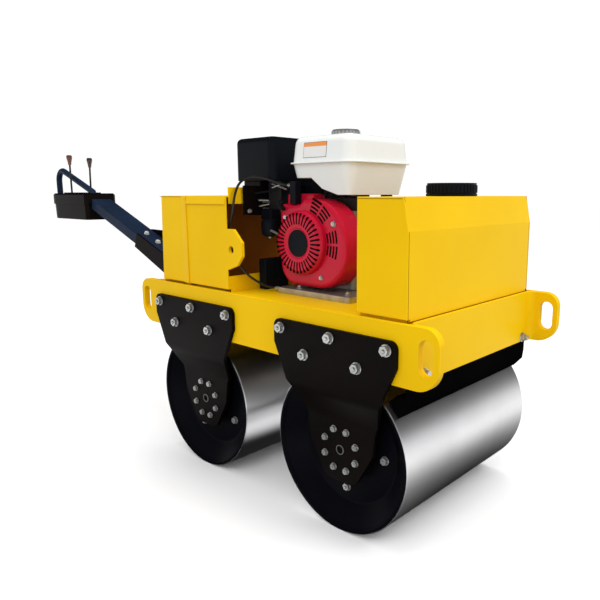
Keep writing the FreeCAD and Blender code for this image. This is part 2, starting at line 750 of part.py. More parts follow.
for end in ENDS:
    x = axle_x(end)
    for side, sign in SIDES.items():
        outer = sign * (frame_half + s.support_plate)
        inner = sign * frame_half
        section = [
            (outer, s.support_top + s.overrun), (inner, s.support_top + s.overrun),
            (inner, joggle_top), (sign * leg_inner, joggle_foot),
            (sign * leg_inner, toe_z - s.overrun), (sign * leg_outer, toe_z - s.overrun),
            (sign * leg_outer, joggle_foot), (outer, joggle_top),
        ]
        if sign < 0:
            section.reverse()
        bent = padded(f"{end}_{side}_bent", "YZ_Plane", section, x - s.support_half - s.overrun,
                      2 * (s.support_half + s.overrun))
        low_y = ends_of(frame_half + s.support_plate, s.joggle + s.support_plate, sign)
        flat = padded(f"{end}_{side}_flat", "XZ_Plane", support_outline(x), low_y,
                      s.joggle + s.support_plate)
        piece(shared(f"{end}_{side}_support_cut", bent, flat), f"{end}_{side}_support")

        flange_end = leg_inner - s.hub_flange
        collar_end = dish_y + s.hub_collar_gap
        stub_end = dish_y - s.stub_reach
        hub = [
            (sign * leg_inner, 0), (sign * leg_inner, s.hub_flange_radius),
            (sign * flange_end, s.hub_flange_radius), (sign * flange_end, s.hub_collar_radius),
            (sign * collar_end, s.hub_collar_radius), (sign * collar_end, s.stub_radius),
            (sign * stub_end, s.stub_radius), (sign * stub_end, 0),
        ]
        if sign > 0:
            hub.reverse()
        piece(turned(f"{end}_{side}_hub_body", "YZ_Plane", hub, x=x, z=s.drum_radius),
              f"{end}_{side}_stub_axle")

    shell = [
        (-drum_half, shell_inside), (drum_half, shell_inside),
        (drum_half, s.drum_radius), (-drum_half, s.drum_radius),
    ]
    piece(turned(f"{end}_shell_body", "YZ_Plane", shell, x=x, z=s.drum_radius),
          f"{end}_drum_shell")
    dishes = []
    for side, sign in SIDES.items():
        bore = s.stub_radius + s.stub_fit
        lip_y = drum_half - s.dish_lip
        dish = [
            (sign * dish_y, bore), (sign * dish_y, s.dish_flat_radius),
            (sign * lip_y, shell_inside), (sign * (lip_y - s.dish_plate), shell_inside),
            (sign * (dish_y - s.dish_plate), s.dish_flat_radius),
            (sign * (dish_y - s.dish_plate), s.drum_boss_radius),
            (sign * (dish_y - s.drum_boss_length), s.drum_boss_radius),
            (sign * (dish_y - s.drum_boss_length), bore),
        ]
        if sign < 0:
            dish.reverse()
        dishes.append(turned(f"{end}_{side}_dish", "YZ_Plane", dish, x=x, z=s.drum_radius))
    piece(grouped(f"{end}_dishes", *dishes), f"{end}_drum_ends")

# ---------------------------------------------------------------- scrapers

scraper_radius = s.drum_radius + s.scraper_gap


def beside_drum(end, angle):
    """A point of a scraper beside the drum, at an angle above the axle."""
    across = scraper_radius * cosine(angle)
    return axle_x(end) + ENDS[end] * across, s.drum_radius + scraper_radius * sine(angle)


for end, sign in ENDS.items():
    tip_x, tip_z = beside_drum(end, s.scraper_tip_angle)
    back_x, back_z = beside_drum(end, s.scraper_back_angle)
    face_x = mid + sign * panel_back
    web_x = mid + sign * (panel_back - s.scraper_web)
    bar = [
        (back_x, back_z), (tip_x, tip_z),
        (face_x - sign * s.blade_front_gap, tip_z + s.blade_front),
        (face_x, s.blade_top), (face_x, s.scraper_web_top), (web_x, s.scraper_web_top),
        (web_x, s.blade_top),
        (back_x + sign * s.blade_back, s.blade_top - s.blade_back_drop),
    ]
    if sign < 0:
        bar.reverse()
    half = frame_half - s.scraper_inset
    piece(padded(f"{end}_scraper_body", "XZ_Plane", bar, -half, 2 * half), f"{end}_scraper")

# ---------------------------------------------------------------- tanks and cabinet

def sheet_tank(name, outline, inner, openings=()):
    """A closed sheet tank on a narrower foot, so that its side sheets end above the deck."""
    shell = padded(f"{name}_shell", "XZ_Plane", outline, -cover_half, 2 * cover_half)
    slits = [block(f"{name}_slit_{number}", mid - s.lug_reach, low, deck_top - s.overrun,
                   2 * s.lug_reach, s.side_inset, s.side_gap + s.overrun)
             for number, low in enumerate((-cover_half, cover_half - s.side_inset))]
    room = padded(f"{name}_room", "XZ_Plane", inner, -cover_half + s.sheet,
                  2 * (cover_half - s.sheet))
    return cut(f"{name}_cut", shell, room, *slits, *openings)


floor_top = deck_top + s.side_gap + s.sheet
roof_bottom = cover_top - s.sheet
water = [
    (mid + s.tank_rear_x, deck_top), (mid + s.tank_foot_x, deck_top),
    (mid + s.tank_knee_x, cover_top - s.tank_knee_drop), (mid + s.tank_top_x, cover_top),
    (mid + s.tank_rear_x, cover_top),
]
water_inside = [
    (mid + s.tank_rear_x + s.sheet, floor_top), (mid + s.tank_foot_x - s.sheet, floor_top),
    (mid + s.tank_knee_x - s.sheet, cover_top - s.tank_knee_drop),
    (mid + s.tank_top_x - s.sheet, roof_bottom), (mid + s.tank_rear_x + s.sheet, roof_bottom),
]
filler = rod("filler_hole", mid + s.filler_x, 0, roof_bottom - s.overrun, s.filler_radius,
             s.sheet + 2 * s.overrun)
piece(sheet_tank("water", water, water_inside, [filler]), "front_water_tank")

cap = [
    (0, cover_top), (s.filler_cap_radius, cover_top),
    (s.filler_cap_radius, cover_top + s.filler_cap_height),
    (0, cover_top + s.filler_cap_height),
]
piece(turned("filler_cap_body", "XZ_Plane", cap, x=mid + s.filler_x), "water_tank_cap")

oil = [
    (mid + s.rear_tank_foot_x, deck_top), (mid + s.rear_tank_front_x, deck_top),
    (mid + s.rear_tank_front_x, cover_top), (mid + s.rear_tank_top_x, cover_top),
]
oil_inside = [
    (mid + s.rear_tank_foot_x + s.sheet, floor_top),
    (mid + s.rear_tank_front_x - s.sheet, floor_top),
    (mid + s.rear_tank_front_x - s.sheet, roof_bottom),
    (mid + s.rear_tank_top_x + s.sheet, roof_bottom),
]
piece(sheet_tank("oil", oil, oil_inside), "rear_tank")

side_foot = deck_top + s.side_gap
ear_z = deck_top + s.ear_rise
ear_top = ear_z + s.ear_half
ear_bottom = ear_z - s.ear_half
nose_x = mid + s.ear_nose_x
ear_edge = [
    (mid + s.cabinet_x, ear_bottom), (nose_x - s.ear_chin, ear_bottom + s.ear_chin_foot),
    (nose_x, ear_bottom + s.ear_chin_top), (nose_x, ear_top - s.ear_brow),
    (nose_x - s.ear_brow, ear_top), (mid + s.cabinet_x, ear_top),
]
cabinet_side = [
    (mid + s.rear_tank_front_x, side_foot), (mid + s.cabinet_x, side_foot), *ear_edge,
    (mid + s.cabinet_x, cover_top), (mid + s.rear_tank_front_x, cover_top),
]
doubler_x = mid + s.cabinet_x - s.ear_doubler_length
doubler_side = [*ear_edge, (doubler_x, ear_top), (doubler_x, ear_bottom)]
eye = [(mid + s.ear_x, ear_z, s.ear_hole)]
sheets = []
ears = []
for side, sign in SIDES.items():
    low_y = ends_of(cover_half, s.sheet, sign)
    sheets.append(padded(f"cabinet_{side}", "XZ_Plane", cabinet_side, low_y, s.sheet, rounds=eye))
    low_y = ends_of(cover_half - s.sheet, s.ear_doubler, sign)
    ears.append(padded(f"ear_{side}", "XZ_Plane", doubler_side, low_y, s.ear_doubler,
                       rounds=eye))
cabinet_depth = s.cabinet_x - s.rear_tank_front_x
sheets.append(block("cabinet_top", mid + s.rear_tank_front_x, -cover_half, roof_bottom,
                    cabinet_depth, 2 * cover_half, s.sheet))
fold = cover_half - s.side_inset
FRONT_FLANGES = (  # name, half width, bottom, top
    ("cabinet_lip", fold, cover_top - s.cabinet_lip_drop, cover_top + s.cabinet_lip_rise),
    ("cabinet_sill", fold, deck_top, side_foot),
    ("cabinet_wall", cover_half, side_foot, deck_top + s.cabinet_sill_rise),
)
for name, half, low, high in FRONT_FLANGES:
    sheets.append(block(name, mid + s.cabinet_x - s.sheet, -half, low, s.sheet, 2 * half,
                        high - low))
piece(joined("cabinet_join", *sheets), "rear_cabinet")
piece(grouped("ears", *ears), "lifting_ears")

# ---------------------------------------------------------------- engine

def rounded_plan(rear, front, right, left, radius):
    """A rectangle in plan with round corners."""
    return [(rear, right, radius), (front, right, radius), (front, left, radius),
            (rear, left, radius)]


crank = mid + s.crank_x
mount_top = deck_top + s.mount_height
crank_z = mount_top + s.crank_rise
case_top = crank_z + s.case_rise
piece(block("mount_block", crank - s.mount_rear, s.mount_right_y, deck_top,
            s.mount_rear + s.mount_front, s.mount_left_y - s.mount_right_y, s.mount_height),
      "engine_mount")

case_plan = rounded_plan(crank - s.case_rear, crank + s.case_front, -s.case_half, s.case_half,
                         s.case_corner)
case = padded("case_body", "XY_Plane", case_plan, mount_top, case_top - mount_top)
shaft = rod("shaft_rod", crank, s.case_half - s.overrun, crank_z, s.shaft_radius,
            s.shaft_reach + s.overrun, "y")
piece(joined("case_join", case, shaft), "engine_block")

head = doc.addObject("Part::Box", "head_block")
bind(head, "Length", s.head_reach - s.case_rear - s.head_gap)
bind(head, "Width", s.head_width)
bind(head, "Height", s.head_width)
head.Placement = Placement(Vector(), Rotation(Vector(0, 1, 0), 180 + s.head_tilt.value))
head_start = s.case_rear + s.head_gap
head_half = s.head_width / 2
head_rise, head_run = sine(s.head_tilt), cosine(s.head_tilt)
place(head, crank - head_start * head_run + head_half * head_rise, -head_half,
      crank_z + head_start * head_rise + head_half * head_run)
piece(cut("head_cut", head, case), "engine_head")

shoulder_z = crank_z + s.shroud_shoulder
shroud_depth = -s.case_half - s.shroud_face_y
shroud = [
    (crank - s.shroud_rear, crank_z - s.shroud_drop, s.shroud_rear_round),
    (crank + s.shroud_front, crank_z - s.shroud_drop, s.shroud_low_round),
    (crank + s.shroud_front, crank_z + s.shroud_rise, s.shroud_round),
    (crank, crank_z + s.shroud_rise, s.shroud_corner),
    (crank - s.shroud_step, shoulder_z, s.shroud_corner),
    (crank - s.shroud_rear, shoulder_z, s.shroud_corner),
]
piece(padded("shroud_body", "XZ_Plane", shroud, s.shroud_face_y, shroud_depth), "fan_housing")
recoil_face_y = s.shroud_face_y - s.recoil_depth
recoil = [
    (s.shroud_face_y, 0), (s.shroud_face_y, s.recoil_radius),
    (recoil_face_y, s.recoil_top_radius), (recoil_face_y, 0),
]
piece(turned("recoil_body", "YZ_Plane", recoil, x=crank, z=crank_z), "starter_cover")

fuel_rear, fuel_front = crank - s.fuel_rear, crank + s.fuel_front
fuel_bottom = crank_z + s.fuel_rise
fuel_seam = fuel_bottom + s.fuel_pan
fuel_plan = rounded_plan(fuel_rear, fuel_front, s.fuel_right_y, s.fuel_left_y, s.fuel_corner)
rim = s.fuel_flange
flange_plan = rounded_plan(fuel_rear - rim, fuel_front + rim, s.fuel_right_y - rim,
                           s.fuel_left_y + rim, s.fuel_corner + rim)
fuel_upper = padded("fuel_upper", "XY_Plane", fuel_plan, fuel_seam, s.fuel_height - s.fuel_pan,
                    lean=-s.fuel_lean)
fuel_lower = padded("fuel_lower", "XY_Plane", fuel_plan, fuel_seam, s.fuel_pan,
                    lean=-s.fuel_pan_lean, down=True)
shelf_z = fuel_bottom + s.fuel_shelf_rise
below_shelf = [
    (fuel_rear, fuel_bottom), (fuel_rear + s.fuel_level, fuel_bottom),
    (fuel_rear + s.fuel_slope, fuel_bottom + s.fuel_slope_rise),
    (fuel_rear + s.fuel_shelf, shelf_z), (fuel_rear, shelf_z),
]
shelf_waste = padded("shelf_waste", "XZ_Plane", below_shelf, s.fuel_right_y,
                     s.fuel_left_y - s.fuel_right_y)
fuel_lower = cut("fuel_shelf_cut", fuel_lower, shelf_waste)
finish_edges(fuel_upper, "Fillet", s.fuel_crown,
             at_level("Z", (s.fuel_height - s.fuel_pan).value))
fuel_rim = padded("fuel_rim", "XY_Plane", flange_plan, fuel_seam - s.fuel_flange_thick / 2,
                  s.fuel_flange_thick)
piece(joined("fuel_join", fuel_upper, fuel_lower, fuel_rim), "fuel_tank")
piece(rod("fuel_cap_rod", crank + s.fuel_cap_front, s.fuel_cap_y, fuel_bottom + s.fuel_height,
          s.fuel_cap_radius, s.fuel_cap_height), "fuel_cap")
feet = []
for x, foot_top in ((fuel_rear + s.tank_foot_inset, shelf_z),
                    (fuel_front - s.tank_foot_inset, fuel_bottom)):
    for y in (s.tank_foot_right_y, s.tank_foot_left_y):
        feet.append(block(f"tank_foot_{len(feet)}", x - s.tank_foot / 2, y - s.tank_foot / 2,
                          case_top, s.tank_foot, s.tank_foot, foot_top - case_top))
piece(grouped("tank_feet", *feet), "fuel_tank_feet")

air_bottom = crank_z + s.air_rise
air_plan = rounded_plan(crank - s.air_rear, crank - s.air_front, s.air_right_y, s.air_left_y,
                        s.air_corner)
air = padded("air_body", "XY_Plane", air_plan, air_bottom, s.air_height)
piece(finish_edges(air, "Fillet", s.air_crown, at_level("Z", s.air_height.value)),
      "air_cleaner")
control_plate = block("plate_block", crank - s.plate_rear, s.plate_right_y,
                      crank_z + s.plate_rise, s.plate_sheet, s.plate_left_y - s.plate_right_y,
                      s.plate_height)
piece(control_plate, "control_plate")
carb_rear = crank - s.plate_rear + s.plate_sheet
carb_left = -head_half
carb_bottom = crank_z + s.carb_rise
carb = block("carb_block", carb_rear, s.carb_right_y, carb_bottom,
             crank - s.carb_front - carb_rear, carb_left - s.carb_right_y,
             air_bottom - carb_bottom)
bowl = rod("carb_bowl", carb_rear + s.bowl_radius, (s.carb_right_y + carb_left) / 2,
           carb_bottom - s.bowl_height, s.bowl_radius, s.bowl_height + s.overrun)
piece(joined("carb_join", carb, bowl), "carburettor")
piece(block("relay_block", crank - s.relay_rear, s.relay_right_y, deck_top, s.relay_length,
            s.relay_left_y - s.relay_right_y, s.relay_height), "relay_box")
muffler_front = crank - s.muffler_front
muffler_bottom = crank_z + s.muffler_rise
muffler_plan = rounded_plan(crank - s.muffler_rear, muffler_front, s.muffler_right_y,
                            s.muffler_left_y, s.muffler_round)
muffler = padded("muffler_body", "XY_Plane", muffler_plan, muffler_bottom, s.muffler_height)
finish_edges(muffler, "Fillet", s.muffler_crown, at_level("Z", s.muffler_height.value))
exhaust = rod("exhaust_rod", muffler_front - s.exhaust_inset,
              s.muffler_right_y + s.exhaust_offset, carb_bottom, s.exhaust_radius,
              muffler_bottom - carb_bottom)
piece(cut("muffler_cut", joined("muffler_join", muffler, exhaust), head), "muffler")

pulley_y = s.case_half + s.pulley_gap
pulley = [
    (pulley_y, s.shaft_radius), (pulley_y + s.pulley_width, s.shaft_radius),
    (pulley_y + s.pulley_width, s.pulley_radius), (pulley_y, s.pulley_radius),
]
piece(turned("pulley_body", "YZ_Plane", pulley, x=crank, z=crank_z), "clutch_pulley")


def guard_outline(inset, foot):
    """The belt guard from the side, or its inside."""
    rear, front = crank - s.guard_rear + inset, crank + s.guard_front - inset
    top = crank_z + s.guard_rise - inset
    corner = s.guard_round - inset
    return [(rear, foot), (front, foot), (front, top, corner), (rear, top, corner)]


guard_depth = s.guard_left_y - s.guard_right_y
guard_outer = padded("guard_outer", "XZ_Plane", guard_outline(size(0), deck_top),
                     s.guard_right_y, guard_depth)
guard_inner = padded("guard_inner", "XZ_Plane",
                     guard_outline(s.guard_sheet, deck_top - s.overrun),
                     s.guard_right_y - s.overrun, guard_depth - s.guard_sheet + s.overrun)
piece(cut("guard_cut", guard_outer, guard_inner), "belt_guard")

piece(block("throttle_block_body", crank - s.throttle_rear, s.shroud_face_y, shoulder_z,
            s.throttle_thick, s.throttle_thick, s.throttle_height), "throttle_block")
CABLE = [  # x from the middle of the axles, y, z
    (8, -174, 868), (-18, -174, 868), (-42, -182, 874), (-68, -196, 885), (-96, -208, 892),
    (-115, -232, 891), (-121, -260, 873), (-122, -275, 836), (-126, -277, 802),
    (-141, -275, 769), (-155, -273, 734), (-153, -272, 698), (-139, -266, 665),
    (-122, -256, 635), (-107, -238, 609), (-89, -216, 590), (-71, -199, 580),
    (-52, -191, 578), (-35, -191, 578),
]
cable_path = [(mid + x, y, z) for x, y, z in CABLE]
piece(tube("cable_tube", cable_path, s.cable_radius), "throttle_cable")

# ---------------------------------------------------------------- handle

pivot = mid - s.panel_reach - s.pivot_reach
bracket_half = s.arm_width / 2 + s.bracket_plate
cheek_inner = bracket_half + s.cheek_gap
pin_half = cheek_inner + s.cheek_plate + s.pin_end
cheek_top, cheek_foot = s.pivot_z + s.cheek_round, s.pivot_z - s.cheek_round
cheek_outline = [
    (mid - s.panel_reach, cheek_foot), (mid - s.panel_reach, cheek_top),
    (pivot - s.cheek_round, cheek_top, s.cheek_corner),
    (pivot - s.cheek_round, cheek_foot, s.cheek_corner),
]
cheeks = []
for side, sign in SIDES.items():
    low_y = ends_of(cheek_inner + s.cheek_plate, s.cheek_plate, sign)
    cheeks.append(padded(f"cheek_{side}", "XZ_Plane", cheek_outline, low_y, s.cheek_plate,
                         rounds=[(pivot, s.pivot_z, s.pivot_radius)]))
piece(grouped("cheeks", *cheeks), "handle_hinge_ears")
piece(rod("pin_rod", pivot, -pin_half, s.pivot_z, s.pivot_radius, 2 * pin_half, "y"),
      "handle_hinge_pin")

LEAN = Rotation(Vector(0, 1, 0), s.handle_tilt.value)


def lean(thing):
    """Turn a thing drawn along the level handle line about the hinge to the handle's slope."""
    thing.Placement = Placement(Vector(), LEAN)
    bind(thing, "Placement.Base.x", pivot)
    bind(thing, "Placement.Base.z", s.pivot_z)
    return thing


arm_half = s.arm_depth / 2
bracket_foot, bracket_top = -arm_half - s.bracket_plate, arm_half + s.bracket_rise
side_outline = [
    (-s.bracket_length, bracket_foot), (-s.bracket_belly_reach, -s.bracket_belly),
    (s.bracket_end, bracket_foot, s.bracket_corner),
    (s.bracket_end, bracket_top, s.bracket_corner), (-s.bracket_length, bracket_top),
]
bracket_parts = []
for side, sign in SIDES.items():
    low_y = ends_of(bracket_half, s.bracket_plate, sign)
    bracket_parts.append(padded(f"bracket_{side}", "XZ_Plane", side_outline, low_y,
                                s.bracket_plate,
                                rounds=[(0, 0, s.pivot_radius + s.pivot_fit)]))
lock_outline = [
    (-s.lock_rear, -arm_half), (-s.lock_front + s.lock_rise, -arm_half),
    (-s.lock_front + s.lock_rise, bracket_top), (-s.lock_front, arm_half + s.lock_rise),
    (-s.lock_rear, arm_half),
]
bracket_parts.append(padded("bracket_lock", "XZ_Plane", lock_outline, s.arm_width / 2,
                            s.bracket_plate))
bracket_parts.append(block("bracket_floor", -s.bracket_length, -s.arm_width / 2 - s.overrun,
                           bracket_foot, s.bracket_length - s.arm_start,
                           s.arm_width + 2 * s.overrun, s.bracket_plate))
piece(lean(joined("bracket_join", *bracket_parts)), "handle_bracket")

console_rear = mid - s.handle_reach
console_front = console_rear + s.console_length
arm_run = (pivot - console_front) / cosine(s.handle_tilt)
arm_z = s.pivot_z + arm_run * sine(s.handle_tilt)
arm = lean(grouped("arm_group", block("arm_block", -arm_run - s.arm_overrun, -s.arm_width / 2,
                                      -arm_half, arm_run + s.arm_overrun - s.arm_start,
                                      s.arm_width, s.arm_depth)))

console_top = arm_z + s.console_rise
console_rim = console_top - s.lid_height
console_bottom = console_rim - s.console_depth


def console_plan(inset):
    """The console from above, or a line that far inside it."""
    front = console_front - inset
    rear = console_rear + inset
    half = s.console_half - inset
    rear_half = s.console_rear_half - inset
    return [
        (rear, -rear_half), (rear + s.console_rear_cut, -half),
        (front - s.console_front_cut, -half), (front, -half + s.console_front_cut),
        (front, half - s.console_front_cut), (front - s.console_front_cut, half),
        (rear + s.console_rear_cut, half), (rear, rear_half),
    ]


def console_side(inset):
    """The console's lower body from the side, or a line that far inside it."""
    rear = console_rear + s.console_step + inset
    front = console_front - s.console_step - inset
    low = console_bottom + inset
    top = console_rim + s.overrun
    return [(rear + s.console_lean, low), (front, low), (front, top), (rear, top)]


wall = s.console_sheet
lid = padded("lid_body", "XY_Plane", console_plan(size(0)), console_rim, s.lid_height)
finish_edges(lid, "Chamfer", s.console_bevel, at_level("Z", s.lid_height.value))
lid_room = padded("lid_room", "XY_Plane", console_plan(s.console_step + wall),
                  console_rim - s.overrun, s.lid_height - s.lid_plate + s.overrun)
body_height = s.console_depth + s.overrun
low_plan = padded("low_plan", "XY_Plane", console_plan(s.console_step), console_bottom,
                  body_height)
low_side = padded("low_side", "XZ_Plane", console_side(size(0)), -s.console_half,
                  2 * s.console_half)
room_plan = padded("room_plan", "XY_Plane", console_plan(s.console_step + wall),
                   console_bottom + wall, body_height)
room_side = padded("room_side", "XZ_Plane", console_side(wall), -s.console_half,
                   2 * s.console_half)
case_outer = joined("console_outer", lid, shared("low_cut", low_plan, low_side))
LEVERS = (  # name, y, rise above the lid, lean
    ("travel_lever", s.travel_y, s.travel_rise, 0),
    ("throttle_lever", s.throttle_lever_y, s.throttle_lever_rise, s.throttle_lever_lean.value),
)
lever_x = console_rear + s.lever_reach
slots = [block(f"{name}_slot", lever_x - s.lever_slot / 2, y - s.lever_slot_width / 2,
               console_top - s.lid_plate - s.overrun, s.lever_slot, s.lever_slot_width,
               s.lid_plate + s.gate_thick + 2 * s.overrun)
         for name, y, rise, lever_lean in LEVERS]
gate = block("gate_block", console_rear + s.gate_rear, s.gate_right_y, console_top,
             s.gate_length, s.gate_left_y - s.gate_right_y, s.gate_thick)
piece(cut("arm_cut", arm, case_outer), "handle_arm")
piece(cut("console_cut", case_outer, lid_room, shared("room_cut", room_plan, room_side), *slots),
      "control_console")
piece(cut("gate_cut", gate, *slots), "lever_gate")
lever_foot = console_bottom + wall
for name, y, rise, lever_lean in LEVERS:
    height = console_top + rise - lever_foot
    knob = [
        (0, 0), (s.lever_radius, 0), (s.lever_radius, height - s.knob_height),
        (s.knob_foot_radius, height - s.knob_height), (s.knob_top_radius, height), (0, height),
    ]
    lever = turned(f"{name}_body", "XZ_Plane", knob, x=lever_x, y=y, z=lever_foot)
    lever.Placement.Rotation = Rotation(Vector(0, 1, 0), lever_lean)
    piece(lever, name)

loop_x = console_rear + s.loop_rear
loop_top = console_top + s.loop_rise
loop_run = s.console_length - s.loop_rear + s.loop_overrun
loop_fall = loop_run * sine(s.loop_slope) / cosine(s.loop_slope)
loop_path = [
    (loop_x, s.loop_y, console_top - s.loop_root), (loop_x, s.loop_y, loop_top),
    (loop_x + loop_run, s.loop_y, loop_top - loop_fall),
]
loop = tube("loop_tube", loop_path, s.loop_tube, s.loop_bend)
beyond = block("loop_end", console_front - s.console_step, -s.console_half, console_bottom,
               2 * s.loop_overrun, 2 * s.console_half, loop_top - console_bottom)
below = block("loop_foot", console_rear, -s.console_half, console_bottom, s.console_length,
              2 * s.console_half, console_top - console_bottom)
piece(cut("loop_cut", loop, beyond, below), "handle_loop")

# ---------------------------------------------------------------- write

doc.recompute()
faults = [item.Name for item in doc.Objects if {"Invalid", "Error"} & set(item.State)]
if faults:
    raise RuntimeError(f"objects that failed: {faults}")
os.makedirs("parts", exist_ok=True)
for thing in pieces:
    if thing.Shape.isNull() or not thing.Shape.isValid():
        raise RuntimeError(f"{thing.Label} has no valid shape")
for thing in pieces:
    thing.Shape.exportStep(f"parts/{thing.Label}.step")
print(len(pieces), "parts written")
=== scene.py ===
"""Looks of a walk-behind double-drum roller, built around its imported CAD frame.

Sizes are in metres in the machine's frame: +X forwards, +Y to its left, +Z up. Places along X
are given from midway between the axles, and Site turns them into the frame's own X.
"""

import logging
import math
from dataclasses import dataclass, replace
from enum import Enum
from functools import lru_cache
from typing import Iterable, Sequence

import bmesh
import bpy
from mathutils import Euler, Matrix, Vector


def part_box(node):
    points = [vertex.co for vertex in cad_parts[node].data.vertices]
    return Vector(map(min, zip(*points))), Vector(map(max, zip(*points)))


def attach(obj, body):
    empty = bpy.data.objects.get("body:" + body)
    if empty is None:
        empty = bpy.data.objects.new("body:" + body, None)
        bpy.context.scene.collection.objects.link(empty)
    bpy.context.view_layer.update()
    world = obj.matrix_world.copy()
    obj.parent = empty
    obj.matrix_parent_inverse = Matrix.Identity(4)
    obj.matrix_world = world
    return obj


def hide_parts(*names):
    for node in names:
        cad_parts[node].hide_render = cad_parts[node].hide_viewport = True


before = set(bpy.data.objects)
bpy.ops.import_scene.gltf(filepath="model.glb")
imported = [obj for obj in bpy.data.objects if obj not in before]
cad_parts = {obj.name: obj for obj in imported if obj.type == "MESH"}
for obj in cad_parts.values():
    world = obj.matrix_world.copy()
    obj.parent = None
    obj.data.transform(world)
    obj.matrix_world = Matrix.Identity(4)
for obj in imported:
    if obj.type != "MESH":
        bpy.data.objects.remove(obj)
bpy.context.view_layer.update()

LOG = logging.getLogger("roller")
RIGHT, LEFT = -1, 1
DOWN, UP = -1, 1
Pair = tuple[float, float]
Point = tuple[float, float, float]


class Body(Enum):
    """The bodies of the machine that pieces ride on."""

    CHASSIS = "chassis"
    FRONT_DRUM = "front_drum"
    REAR_DRUM = "rear_drum"
    HANDLE = "handle"


class Axis(Enum):
    """The axes that discs, bolts and prisms are built along."""

    X = (1.0, 0.0, 0.0)
    Y = (0.0, 1.0, 0.0)
    Z = (0.0, 0.0, 1.0)

    @property
    def place(self) -> int:
        """Its place among a point's three numbers."""
        return self.value.index(1.0)

    def vector(self) -> Vector:
        """The axis as a vector."""
        return Vector(self.value)


FORWARD, LEFTWARD, UPWARD = (axis.vector() for axis in Axis)


def centre_of(node: str) -> Vector:
    """Middle of a CAD node's box at rest."""
    low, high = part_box(node)
    return (low + high) / 2


def side_of(node: str, axis: Axis, side: int) -> Vector:
    """Middle of one side of a CAD node's box at rest.

    Args:
        node: The CAD node.
        axis: The axis that the side looks along.
        side: 1 for the side that looks forwards, left or up, -1 for the one opposite.

    Returns:
        The point.
    """
    spot = centre_of(node)
    spot[axis.place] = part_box(node)[side > 0][axis.place]
    return spot


def stand(name: str, data: bpy.types.ID) -> bpy.types.Object:
    """Put a new object into the scene.

    Args:
        name: Name of the object.
        data: Its mesh, curve, camera or lamp.

    Returns:
        The object.
    """
    made = bpy.data.objects.new(name, data)
    bpy.context.scene.collection.objects.link(made)
    return made


@dataclass(frozen=True)
class Site:
    """Datum lines of the machine, read from the frame."""

    middle: float
    front_axle: float
    rear_axle: float
    axle_z: float

    @staticmethod
    def read() -> "Site":
        """Read the axles from the two drum shells."""
        front, rear = centre_of("front_drum_shell"), centre_of("rear_drum_shell")
        return Site((front.x + rear.x) / 2, front.x, rear.x, front.z)

    def at(self, x: float, y: float, z: float) -> Vector:
        """A point given from midway between the axles.

        Args:
            x: Distance forwards of the middle of the axles.
            y: Distance to the left of the centre plane.
            z: Height above the ground.

        Returns:
            The point in the machine's frame.
        """
        return Vector((self.middle + x, y, z))


SITE = Site.read()


# ------------------------------ finishes

Socket = bpy.types.NodeSocket
Feed = float | Sequence[float] | Socket
DRIFT_STOPS = (0.35, 0.65)
DRIFT_DETAIL, GRAIN_DETAIL = 4.0, 3.0
COAT_ROUGHNESS = 0.08
RELIEF_DEPTH = 0.001
CAD_WELD, CAD_FLAT, CAD_EDGE = 2e-6, 0.5, 35.0


@dataclass(frozen=True)
class Wiring:
    """A node tree under way: it adds nodes and feeds their inputs."""

    tree: bpy.types.NodeTree

    def feed(self, node: bpy.types.Node, feeds: dict[str | int, Feed]) -> None:
        """Set a node's inputs.

        Args:
            node: The node.
            feeds: For each input its value, or the output that it is linked to.
        """
        for name, feed in feeds.items():
            if isinstance(feed, Socket):
                self.tree.links.new(feed, node.inputs[name])
            else:
                node.inputs[name].default_value = feed

    def add(self, kind: str, output: str, feeds: dict[str | int, Feed],
            **settings: str) -> Socket:
        """Add a node.

        Args:
            kind: Its kind of shader node.
            output: Name of the output that is used.
            feeds: Its inputs, as feed takes them.
            settings: Its own settings.

        Returns:
            The output.
        """
        node = self.tree.nodes.new(f"ShaderNode{kind}")
        for name, setting in settings.items():
            setattr(node, name, setting)
        self.feed(node, feeds)
        return node.outputs[output]

    def fade(self, value: Socket, first: Pair, last: Pair) -> Socket:
        """Fade smoothly from one tone to another.

        Args:
            value: What the fade goes along.
            first: Where the fade starts, and the tone there.
            last: Where it ends, and the tone there.

        Returns:
            The tone.
        """
        return self.add("MapRange", "Result", {
            "Value": value, "From Min": first[0], "To Min": first[1],
            "From Max": last[0], "To Max": last[1]}, interpolation_type="SMOOTHSTEP")

    def switch(self, ray: str, usual: Feed, chosen: Feed) -> Socket:
        """Give the usual tone, or another to one kind of ray.

        Args:
            ray: The kind of ray.
            usual: Tone for all the others.
            chosen: Tone for that kind.

        Returns:
            The tone.
        """
        kind = self.add("LightPath", f"Is {ray} Ray", {})
        return self.add("Mix", "Result", {"Factor": kind, "A": usual, "B": chosen},
                        data_type="FLOAT")


